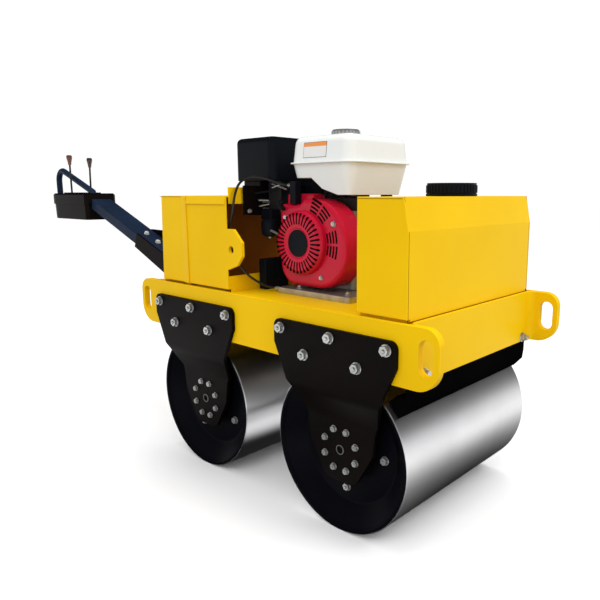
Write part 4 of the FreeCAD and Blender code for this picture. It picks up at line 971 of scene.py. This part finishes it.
@dataclass
class Covers:
    """Front water tank with its ribbed cap, rear tank, cabinet and lifting ears."""

    sheet_ease: float = 0.0022
    sheet_fold: float = 8.0
    flange: float = 0.023
    flange_proud: float = 0.0048
    flare: float = 0.030
    flare_proud: float = 0.0040
    trim_root: float = 0.001
    trim_gap: float = 0.002
    sill: float = 0.009
    crest_drop: float = 0.0006
    line_proud: float = 0.0004
    line_stop: float = 0.002
    line_foot: float = 0.007
    line_inset: float = 0.010
    wall_line: Pair = (0.0032, 0.0012)
    front_roof_line: Pair = (0.0046, 0.0034)
    rear_roof_line: Pair = (0.0040, 0.0026)
    skin: float = 0.0008
    skin_rise: float = 0.010
    sheet: float = 0.0041
    cabinet_front: float = -0.136
    seam: float = 0.0022
    front_wall: Point = (0.487, 0.485, 0.471)
    knee_z: float = 0.766
    ribs: int = 40
    rib_depth: float = 0.0022

    def build(self) -> None:
        """Dress the sheet work and turn the filler cap."""
        for node in ("front_water_tank", "rear_tank", "rear_cabinet"):
            eased(node, YELLOW, self.sheet_ease, crease=self.sheet_fold)
        eased("lifting_ears", YELLOW, 0.0012)
        self.painted_interior_shade()
        self.seam_shade()
        self.cabinet_trim()
        self.filler_cap()

    def seam_shade(self) -> None:
        """Lay narrow strips of painted shade in the joints and folds round the front tank's
        sheets.
        """
        low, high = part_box("front_water_tank")
        half, wide, proud, stop = high.y, self.seam, self.line_proud, self.line_stop
        (inset, depth), (under, over) = self.wall_line, self.front_roof_line
        foot, knee, top = (SITE.middle + x for x in self.front_wall)
        wall = [(foot, low.z), (knee, self.knee_z), (top, high.z)]
        outline = [(x + proud, z) for x, z in wall] + [(x - wide, z) for x, z in reversed(wall)]
        # Painted shade: dark strips where shade falls in the gaps and folds of the tank's sheets.
        lines = Shape()
        lines.box((foot - wide, stop - half, low.z), (foot + proud, half - stop, low.z + 2 * wide))
        for side in (RIGHT, LEFT):
            face = side * (half + proud)
            lines.box((low.x + 2 * stop, face, low.z),
                      (foot, side * (half - wide), low.z + wide))
            lines.prism(outline, Axis.Y, side * (half - inset), -side * depth)
            lines.box((low.x + stop, face, high.z - under),
                      (top - stop, side * (half - self.trim_root), high.z - over))
        lines.publish("front_tank_joints", SEAM_SHADE)

    def cabinet_trim(self) -> None:
        """Fold the roof's flange and the rear tank's flare over the cabinet's walls, and lay
        painted shade in the rear tank's joints.
        """
        low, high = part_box("rear_tank")
        front = SITE.middle + self.cabinet_front
        foot, crest, sill = high.z - self.flange, high.z - self.crest_drop, low.z + self.sill
        gap, stop, (under, over) = self.trim_gap, self.line_stop, self.rear_roof_line
        trim, lines = Shape(), Shape()
        for side in (RIGHT, LEFT):
            face, root = side * high.y, side * (high.y - self.trim_root)
            proud = face + side * self.line_proud
            trim.prism([(root, foot), (face + side * self.flange_proud, foot), (proud, crest),
                        (root, crest)], Axis.X, high.x + gap, front - high.x - 2 * gap)
            trim.prism([(high.x - self.flare, root), (high.x - self.flare, face),
                        (high.x, face + side * self.flare_proud), (high.x, root)],
                       Axis.Z, sill, crest - sill)
            # Painted shade: dark strips along the rear tank's foot gap and under its roof edge.
            lines.box((low.x + self.line_inset, proud, low.z),
                      (high.x - self.flare, root, low.z + self.line_foot))
            lines.box((low.x + stop, proud, high.z - under),
                      (high.x - 2 * stop, root, high.z - over))
        trim.publish("cabinet_roof_flange", YELLOW)
        lines.publish("rear_tank_joints", SEAM_SHADE)

    def painted_interior_shade(self) -> None:
        """Line the cabinet's inner walls with brown painted shade, standing in for the deep shade
        that falls inside the yellow cabinet.
        """
        low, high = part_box("rear_cabinet")
        tank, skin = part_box("rear_tank")[1], self.skin
        front = SITE.middle + self.cabinet_front - self.sheet
        half, roof = high.y - self.sheet, tank.z - self.sheet
        # Painted shade: thin liner sheets inside the cabinet's roof and walls.
        coat = Shape()
        coat.box((tank.x, -half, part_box("deck")[1].z), (tank.x + skin, half, roof))
        coat.box((tank.x, -half, roof - skin), (front, half, roof))
        for side in (RIGHT, LEFT):
            coat.box((tank.x, side * half, low.z + self.skin_rise),
                     (front, side * (half - skin), roof))
        coat.publish("cabinet_undercoat", PAINTED_INTERIOR_SHADE)

    def filler_cap(self) -> None:
        """Turn the big screw cap, with grip ribs round it and a raised disc on top."""
        low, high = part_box("water_tank_cap")
        foot = side_of("water_tank_cap", Axis.Z, DOWN)
        radius, height = (high.x - low.x) / 2, high.z - low.z
        body, crown = radius - self.rib_depth, height - 0.0006
        cap = Shape()
        cap.lathe([(0, 0), (radius * 0.97, 0), (radius, 0.0015), (radius, 0.005), (body, 0.007),
                   (body, height - 0.0016), (body - 0.0012, crown), (radius * 0.62, crown),
                   (radius * 0.60, height - 0.003), (0, height - 0.003)], foot, UPWARD, steps=96)
        cap.box_ring(self.ribs, foot, Vector((body, 0, height / 2 + 0.001)),
                     Vector((self.rib_depth, 0.0024, height / 2 - 0.007)), 0.0007)
        cap.publish("water_cap_ribbed", PLASTIC, replaces=["water_tank_cap"])


# ------------------------------ engine


@dataclass
class Starter:
    """Red fan housing and starter cover, with their slots and bare centre badge."""

    housing_ease: float = 0.014
    slots: int = 36
    slot_inner: float = 0.051
    slot_outer: float = 0.082
    slot_width: float = 0.0052
    slot_groups: tuple[Pair, ...] = ((36.0, 72.0), (-17.0, 18.0))
    slot_rows: int = 4
    slot_ring: float = 0.0915
    slot_pitch: float = 0.0104
    slot_rib: float = 1.8
    slot_sunk: float = 0.0006
    slot_depth: float = 0.004
    slot_corners: int = 6
    badge: float = 0.038
    bolts: tuple[tuple[Point, float], ...] = (((0.115, 0.0, 0.055), 0.012),
                                              ((0.070, 0.0, -0.090), 0.011))
    bracket: tuple[Point, Point] = ((-0.056, -0.020, 0.060), (-0.044, -0.006, 0.074))
    grip_foot: Point = (-0.070, -0.004, 0.088)
    grip_axis: Point = (0.15, -0.55, 0.82)
    grip: tuple[Pair, ...] = ((0, 0), (0.005, 0), (0.006, 0.006), (0.004, 0.010),
                              (0.004, 0.016), (0.0085, 0.021), (0.0085, 0.027),
                              (0.005, 0.031), (0, 0.031))

    @property
    def crank(self) -> Vector:
        """Crank axis at the foot of the starter's cover."""
        return side_of("starter_cover", Axis.Y, LEFT)

    def build(self) -> None:
        """Build the housing, the cover, its slots, the badge and the small parts."""
        eased("fan_housing", RED, self.housing_ease, segments=5)
        low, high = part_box("starter_cover")
        depth, radius, hub, crank = high.y - low.y, (high.x - low.x) / 2, self.badge, self.crank
        cover, badge, slots = Shape(), Shape(), Shape()
        cover.lathe([(0, 0), (radius, 0), (radius, depth * 0.35), (radius - 0.002, depth * 0.55),
                     (radius - 0.008, depth * 0.86), (radius - 0.016, depth),
                     (hub + 0.006, depth), (hub + 0.003, depth - 0.002), (hub, depth - 0.004),
                     (0, depth - 0.004)], crank, -LEFTWARD, steps=96)
        cover.publish("starter_cover_dome", RED, replaces=["starter_cover"])
        badge.lathe([(0, depth - 0.0045), (hub - 0.001, depth - 0.0045),
                     (hub - 0.001, depth - 0.0025), (hub - 0.003, depth - 0.0015),
                     (0, depth - 0.001)], crank, -LEFTWARD, steps=64)
        badge.publish("starter_centre_badge", PLASTIC)
        # Painted shade: the cover's slots are near-black inlays that stand in for the shade inside
        # them.
        span = self.slot_outer - self.slot_inner
        slots.box_ring(self.slots, crank - LEFTWARD * (depth - 0.0045),
                       FORWARD * (self.slot_inner + span / 2),
                       Vector((span, 0.0104, self.slot_width)) / 2, 0.0012, Axis.Y)
        slots.publish("starter_slots", HOLLOW_SHADE)
        self.side_slots()
        self.small_parts()

    def side_slots(self) -> None:
        """Lay the two groups of curved slots on the housing in front of the cover, as inlays of
        painted shade.
        """
        dark = Shape()
        for first, last in self.slot_groups:
            gap, rib = (first + last) / 2, self.slot_rib
            for row in range(self.slot_rows):
                radius = self.slot_ring + row * self.slot_pitch
                for start, stop in ((first, gap - rib), (gap + rib, last)):
                    dark.prism(self.arc_slot(radius, start, stop), Axis.Y,
                               self.crank.y - self.slot_sunk, self.slot_depth)
        dark.publish("fan_housing_slots", HOLLOW_SHADE)

    def arc_slot(self, radius: float, start: float, stop: float) -> list[Pair]:
        """Outline of one curved slot.

        Args:
            radius: Inner radius of the slot.
            start: Angle of its first end above level, in degrees.
            stop: Angle of its other end.

        Returns:
            Corners as (x, z).
        """
        pitch = (stop - start) / (self.slot_corners - 1)
        turns = [math.radians(start + pitch * step) for step in range(self.slot_corners)]
        x, z = self.crank.xz
        inside, outside = ([(x + reach * math.cos(turn), z + reach * math.sin(turn))
                            for turn in turns] for reach in (radius, radius + self.slot_width))
        return inside + outside[::-1]

    def small_parts(self) -> None:
        """Add the housing bolts, the bracket on the cover and the starter grip."""
        metal, grip, crank = Shape(), Shape(), self.crank
        for spot, across in self.bolts:
            metal.bolt(crank + Vector(spot), -LEFTWARD, across)
        corner, opposite = (crank + Vector(point) for point in self.bracket)
        metal.box(corner, opposite, 0.0015)
        metal.publish("fan_housing_bolts", ZINC)
        grip.lathe(self.grip, crank + Vector(self.grip_foot), Vector(self.grip_axis), steps=24)
        grip.publish("starter_grip", PLASTIC)


@dataclass
class Engine:
    """Engine block, finned head, tank, air cleaner, carburettor, muffler and fittings."""

    fins: int = 7
    fin: Point = (0.003, 0.012, 0.116)
    fin_root: float = 0.002
    fin_ease: float = 0.0008
    fin_pitch: float = 0.0085
    head_tilt: float = 25.0
    head_start: float = 0.124
    foot_bolts: Pair = (0.060, 0.030)
    foot_bolt_inset: float = 0.028
    foot_bolt_across: float = 0.015
    plug: tuple[Pair, ...] = ((0, 0), (0.012, 0), (0.012, 0.010), (0.008, 0.012),
                              (0.008, 0.020), (0, 0.020))
    plug_place: Pair = (-0.100, 0.055)
    front_cover: tuple[Point, Point] = ((-0.002, -0.075, 0.030), (0.010, 0.075, 0.150))
    vents: int = 6
    vent: Pair = (0.006, 0.052)
    vent_pitch: float = 0.0165
    vent_drop: float = 0.048
    outlet: tuple[Pair, ...] = ((0, 0), (0.011, 0), (0.011, 0.014), (0.009, 0.014),
                                (0.009, 0.004), (0, 0.004))
    outlet_place: Pair = (0.020, 0.018)
    nut: tuple[Pair, ...] = ((0, 0), (0.014, 0), (0.012, 0.004), (0.006, 0.006), (0, 0.006))
    cap_ribs: int = 24
    cap_profile: tuple[Pair, ...] = ((0, 0), (0.9, 0), (0.92, 0.25), (0.97, 0.3), (0.97, 0.8),
                                     (0.9, 1), (0.6, 1), (0.55, 0.9), (0, 0.9))
    label_lean: float = -7.0
    label_seam: Point = (0.107, 0.008, 0.084)
    label_rise: float = 0.033
    label_layers: tuple[tuple[str, Finish, Point, float], ...] = (
        ("tank_label_edge", DARK_STEEL, (0.084, 0.0008, 0.040), 0.0),
        ("tank_label_blank", LABEL, (0.082, 0.0012, 0.038), 0.0),
        ("tank_label_band", ORANGE, (0.082, 0.0016, 0.010), 0.014),
    )
    plate_bolt: Pair = (-0.217, 0.796)
    plate_bolt_across: float = 0.011
    plate_tab_sunk: float = 0.0002
    plate_tab_rise: float = 0.004
    plate_tabs: tuple[tuple[Pair, Pair], ...] = (
        ((-0.167, 0.818), (-0.136, 0.824)), ((-0.167, 0.801), (-0.146, 0.805)),
        ((-0.120, 0.856), (-0.067, 0.862)),
    )
    bowl: Point = (-0.098, -0.166, 0.722)
    bowl_profile: tuple[Pair, ...] = ((0, 0), (0.012, 0), (0.024, 0.006), (0.026, 0.040),
                                      (0.020, 0.052), (0, 0.052))
    housings: tuple[tuple[Point, Point, float], ...] = (
        ((-0.126, -0.176, 0.772), (-0.080, -0.136, 0.800), 0.003),
        ((-0.205, -0.172, 0.782), (-0.131, -0.060, 0.883), 0.004),
        ((-0.074, -0.140, 0.800), (-0.030, -0.070, 0.870), 0.006),
        ((-0.058, -0.090, 0.826), (0.040, 0.070, 0.882), 0.004),
    )
    fuel_pipe: tuple[Point, Point, float] = ((-0.120, -0.200, 0.846), (-0.050, -0.176, 0.856),
                                             0.0028)
    springs_and_rods: tuple[tuple[Point, Point, float, int], ...] = (
        ((-0.108, -0.198, 0.827), (-0.104, -0.166, 0.826), 0.0030, 9),
        ((-0.108, -0.196, 0.810), (-0.104, -0.164, 0.815), 0.0026, 8),
        ((-0.100, -0.152, 0.873), (-0.042, -0.150, 0.857), 0.0030, 0),
        ((-0.092, -0.160, 0.862), (-0.070, -0.150, 0.870), 0.0022, 0),
        ((-0.112, -0.180, 0.752), (-0.050, -0.178, 0.731), 0.0036, 0),
    )
    cowl: tuple[Point, Point] = ((-0.030, -0.160, 0.790), (0.074, -0.112, 0.846))
    top_cover: tuple[Point, Point] = ((-0.020, -0.096, 0.796), (0.186, 0.066, 0.836))

    def build(self) -> None:
        """Build every piece of the engine."""
        Starter().build()
        dress(Body.CHASSIS, ("engine_block", ALLOY, 0.004), ("engine_mount", ZINC, 0.0012),
              ("engine_head", ALLOY, 0.003), ("fuel_tank_feet", DARK_STEEL, 0.001),
              ("carburettor", DARK_STEEL, 0.002), ("relay_box", PLASTIC, 0.003),
              ("throttle_block", BLOCK_BLACK, 0.001), ("control_plate", BLACK, 0.0008),
              ("muffler", DARK_STEEL, 0.002))
        self.head()
        self.crankcase_parts()
        self.tank()
        self.label()
        self.air_cleaner()
        self.plate_fittings()
        self.linkage()
        self.muffler()

    def head(self) -> None:
        """Add the cooling fins on the head's open side."""
        crank, tilt = centre_of("clutch_pulley"), math.radians(self.head_tilt)
        along = Vector((-math.cos(tilt), 0.0, math.sin(tilt)))
        fins, half, leant = Shape(), Vector(self.fin) / 2, Matrix.Rotation(tilt, 3, "Y")
        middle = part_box("engine_head")[1].y - self.fin_root + half.y
        for number in range(self.fins):
            spot = crank + along * (self.head_start + number * self.fin_pitch)
            spot.y = middle
            fins.box(spot - half, spot + half, self.fin_ease, leant)
        fins.publish("cylinder_fins", ALLOY)

    def crankcase_parts(self) -> None:
        """Add the front cover, the oil plug and the foot bolts."""
        low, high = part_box("engine_block")
        foot_low, foot_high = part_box("engine_mount")
        plugs, cover = Shape(), Shape()
        behind, before = self.foot_bolts
        for x in (foot_low.x + behind, foot_high.x - before):
            plugs.bolt(Vector((x, foot_low.y + self.foot_bolt_inset, foot_high.z)), UPWARD,
                       self.foot_bolt_across)
        sideways, up = self.plug_place
        plugs.lathe(self.plug, Vector((high.x, (low.y + high.y) / 2 + sideways, low.z + up)),
                    FORWARD, steps=24)
        plugs.publish("engine_foot_bolts", ZINC)
        base = Vector((high.x, 0.0, low.z))
        corner, opposite = (base + Vector(point) for point in self.front_cover)
        cover.box(corner, opposite, 0.004)
        cover.publish("crankcase_front_cover", ALLOY)

    def tank(self) -> None:
        """Dress the fuel tank and turn its ribbed cap."""
        eased("fuel_tank", WHITE, 0.0012, segments=2)
        low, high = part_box("fuel_cap")
        foot = side_of("fuel_cap", Axis.Z, DOWN)
        radius, height = (high.x - low.x) / 2, high.z - low.z
        cap = Shape()
        cap.lathe([(radius * out, height * up) for out, up in self.cap_profile], foot, UPWARD,
                  steps=64)
        cap.box_ring(self.cap_ribs, foot, Vector((radius * 0.965, 0, height * 0.55)),
                     Vector((radius * 0.035, 0.0022, height * 0.25)), 0.0006)
        cap.publish("fuel_cap_ribbed", ZINC, replaces=["fuel_cap"])

    def label(self) -> None:
        """Stick the blank label, with its orange band, on the tank's leaning right side."""
        lean = Matrix.Rotation(math.radians(self.label_lean), 3, "X")
        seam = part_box("fuel_tank")[0] + Vector(self.label_seam)
        for name, finish, size, rise in self.label_layers:
            spot, half = seam + lean @ (UPWARD * (self.label_rise + rise)), Vector(size) / 2
            layer = Shape()
            layer.box(spot - half, spot + half, 0.0, lean)
            layer.publish(name, finish)

    def air_cleaner(self) -> None:
        """Dress the air cleaner and add its wing nut."""
        eased("air_cleaner", PLASTIC, 0.002, segments=2)
        nut = Shape()
        nut.lathe(self.nut, side_of("air_cleaner", Axis.Z, UP), UPWARD, steps=32)
        nut.publish("air_cleaner_nut", PLASTIC)

    def plate_fittings(self) -> None:
        """Add the control plate's lever tabs and screw."""
        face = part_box("control_plate")[1].x
        bright = Shape()
        bright.bolt(Vector((face, *self.plate_bolt)), FORWARD, self.plate_bolt_across)
        for corner, opposite in self.plate_tabs:
            bright.box((face - self.plate_tab_sunk, *corner),
                       (face + self.plate_tab_rise, *opposite), 0.0008)
        bright.publish("control_plate_fittings", ZINC)

    def linkage(self) -> None:
        """Add the float bowl, pipes, springs and levers by the carburettor, and the covers."""
        dark, bright, bowl = Shape(), Shape(), SITE.at(*self.bowl)
        dark.lathe(self.bowl_profile, bowl, UPWARD, steps=32)
        for corner, opposite, soft in self.housings:
            dark.box(SITE.at(*corner), SITE.at(*opposite), soft)
        start, end, radius = self.fuel_pipe
        dark.rod(SITE.at(*start), SITE.at(*end), radius)
        dark.publish("carburettor_bowl_and_pipes", PLASTIC)
        for start, end, radius, coils in self.springs_and_rods:
            bright.rod(SITE.at(*start), SITE.at(*end), radius, coils)
        bright.bolt(bowl, -UPWARD, 0.010)
        bright.publish("governor_springs_and_levers", ZINC)
        for name, finish, corners in (("cylinder_cowl", RED, self.cowl),
                                      ("crankcase_top_cover", DARK_STEEL, self.top_cover)):
            corner, opposite = (SITE.at(*point) for point in corners)
            cover = Shape()
            cover.box(corner, opposite, 0.008)
            cover.publish(name, finish)

    def muffler(self) -> None:
        """Give the muffler's guard its vents, inlaid as painted shade, and an outlet."""
        low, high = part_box("muffler")
        spot = (low + high) / 2
        vents, outlet = Shape(), Shape()
        for number in range(self.vents):
            step = (number - (self.vents - 1) / 2) * self.vent_pitch
            for axis, along, start in ((Axis.Y, spot.x + step, high.y - 0.001),
                                       (Axis.X, spot.y + step * 0.8, low.x - 0.0004)):
                vents.vent(axis, start, along, high.z - self.vent_drop, self.vent)
        vents.publish("muffler_guard_vents", HOLLOW_SHADE)
        inwards, down = self.outlet_place
        outlet.lathe(self.outlet, Vector((low.x, high.y - inwards, high.z - down)), -FORWARD,
                     steps=28)
        outlet.publish("muffler_outlet", DARK_STEEL)


@dataclass
class BeltDrive:
    """Grooved clutch pulley under its guard."""

    grooves: int = 2
    groove: float = 0.011
    bore: float = 0.0128
    vents: int = 7
    vent: Pair = (0.008, 0.074)
    vent_pitch: float = 0.019
    vent_taper: float = 0.012
    bolt_across: float = 0.013
    bolt_inset: float = 0.026
    bolt_rise: float = 0.024
    bolt_drop: float = 0.028

    def build(self) -> None:
        """Turn the pulley and dress the guard."""
        eased("belt_guard", BLACK, 0.001)
        self.guard_trim()
        low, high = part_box("clutch_pulley")
        centre = side_of("clutch_pulley", Axis.Y, RIGHT)
        radius, width, deep = (high.x - low.x) / 2, high.y - low.y, self.groove
        profile = [(self.bore, 0.0), (radius, 0.0)]
        for number in range(self.grooves):
            seat = width / (self.grooves + 1) * (number + 1)
            profile += [(radius, seat - deep * 0.6), (radius - deep, seat - deep * 0.3),
                        (radius - deep, seat + deep * 0.3), (radius, seat + deep * 0.6)]
        pulley = Shape()
        pulley.lathe([*profile, (radius, width), (self.bore, width)], centre, LEFTWARD, steps=64)
        pulley.publish("clutch_pulley_grooved", IRON, replaces=["clutch_pulley"])

    def guard_trim(self) -> None:
        """Inlay vents of painted shade in front of the pulley and bolt the guard's corners."""
        low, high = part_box("belt_guard")
        pulley, (wide, tall) = centre_of("clutch_pulley"), self.vent
        vents, bolts = Shape(), Shape()
        for number in range(self.vents):
            step = number - (self.vents - 1) / 2
            vents.vent(Axis.Y, high.y - 0.001, pulley.x + step * self.vent_pitch, pulley.z,
                       (wide, tall - abs(step) * self.vent_taper))
        vents.publish("belt_guard_vents", HOLLOW_SHADE)
        rear, front = low.x + self.bolt_inset, high.x - self.bolt_inset
        foot = low.z + self.bolt_rise
        for x, z, spin in ((rear, foot, rear), (front, foot, front),
                           (pulley.x, high.z - self.bolt_drop, 0.0)):
            bolts.bolt(Vector((x, high.y, z)), LEFTWARD, self.bolt_across, spin)
        bolts.publish("belt_guard_bolts", ZINC)


# ------------------------------ handle


@dataclass
class Handle:
    """Folding steering handle: bracket, arm, console, levers and hoop."""

    slope: float = 20.5
    arm_bolts: tuple[float, ...] = (-1.075, -0.990)
    arm_top: Pair = (-1.200, 0.7241)
    arm_fall: float = 0.3738
    arm_bolt_across: float = 0.018
    washer: Pair = (1.5, 0.0018)
    clip_place: float = 0.0040
    clip: Pair = (0.006, 0.0014)
    lever_radius: float = 0.0042
    knob_height: float = 0.045
    knob_radius: float = 0.013

    def build(self) -> None:
        """Dress the handle and turn its levers."""
        dress(Body.CHASSIS, ("handle_hinge_ears", BLACK, 0.0015),
              ("handle_hinge_pin", ZINC, 0.0015))
        dress(Body.HANDLE, ("handle_bracket", BLACK, 0.0012), ("handle_arm", BLUE_BLACK, 0.004),
              ("control_console", CONSOLE_BLACK, 0.0015), ("lever_gate", BLACK, 0.0008),
              ("handle_loop", BLUE_BLACK, 0.0))
        self.hinge_clips()
        self.lever("travel_lever", KNOB_BROWN, 0.0)
        self.lever("throttle_lever", KNOB_DARK, 3.0)
        self.bolt_arm()

    def lever(self, node: str, knob_finish: Finish, lean: float) -> None:
        """Turn a lever's rod and its rounded knob.

        Args:
            node: The CAD lever.
            knob_finish: Finish of the knob.
            lean: How far it leans forwards, in degrees.
        """
        low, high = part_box(node)
        axis = Vector((math.sin(math.radians(lean)), 0, math.cos(math.radians(lean))))
        top, radius = self.knob_radius, self.lever_radius
        neck = (high.z - low.z) / axis.z - top * abs(axis.x) - self.knob_height
        foot = side_of(node, Axis.Z, DOWN)
        if lean:
            foot.x = low.x + radius
        rod, knob = Shape(), Shape()
        rod.lathe([(0, 0), (radius, 0), (radius, neck + 0.002), (0, neck + 0.002)], foot, axis,
                  steps=24)
        rod.publish(f"{node}_rod", ROD_DARK, Body.HANDLE, [node])
        knob.lathe([(0, neck), (0.0066, neck), (0.0072, neck + 0.003), (0.0085, neck + 0.014),
                    (top * 0.92, neck + 0.028), (top, neck + 0.035), (top * 0.92, neck + 0.041),
                    (top * 0.66, neck + 0.0444), (0, neck + 0.045)], foot, axis, steps=40)
        knob.publish(f"{node}_knob", knob_finish, Body.HANDLE)

    def hinge_clips(self) -> None:
        """Put a washer and a clip on each end of the hinge pin."""
        low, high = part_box("handle_hinge_pin")
        ear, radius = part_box("handle_hinge_ears")[1].y, (high.z - low.z) / 2
        clips, (wide, thick), (length, thin) = Shape(), self.washer, self.clip
        for side in (RIGHT, LEFT):
            seat = Vector(((low.x + high.x) / 2, side * ear, (low.z + high.z) / 2))
            clips.lathe([(radius, 0), (radius * wide, 0), (radius * wide, thick),
                         (radius, thick)], seat, LEFTWARD * side, steps=32)
            for end in (-1, 1):
                spot = seat + Vector((0, side * self.clip_place, end * radius))
                clips.rod(spot, spot + UPWARD * end * length, thin)
        clips.publish("hinge_pin_clips", WASHER)

    def bolt_arm(self) -> None:
        """Bolt the arm to its bracket from above."""
        slope = math.radians(self.slope)
        up = Vector((math.sin(slope), 0, math.cos(slope)))
        start, height = self.arm_top
        bolts = Shape()
        for x in self.arm_bolts:
            bolts.bolt(SITE.at(x, 0.0, height - self.arm_fall * (x - start)), up,
                       self.arm_bolt_across)
        bolts.publish("arm_bolts", WASHER, Body.HANDLE)


def main() -> None:
    """Build the scene, piece by piece."""
    logging.basicConfig(level=logging.INFO, format="%(name)s: %(message)s")
    Studio().build()
    ThrottleCable().build()
    Drum("front", Body.FRONT_DRUM, first_bolt=-3.0).build()
    Drum("rear", Body.REAR_DRUM, first_bolt=-30.0).build()
    for assembly in (Supports(), Chassis(), Covers(), Engine(), BeltDrive(), Handle()):
        assembly.build()
        LOG.info("%s built", type(assembly).__name__)


if __name__ == "__main__":
    main()
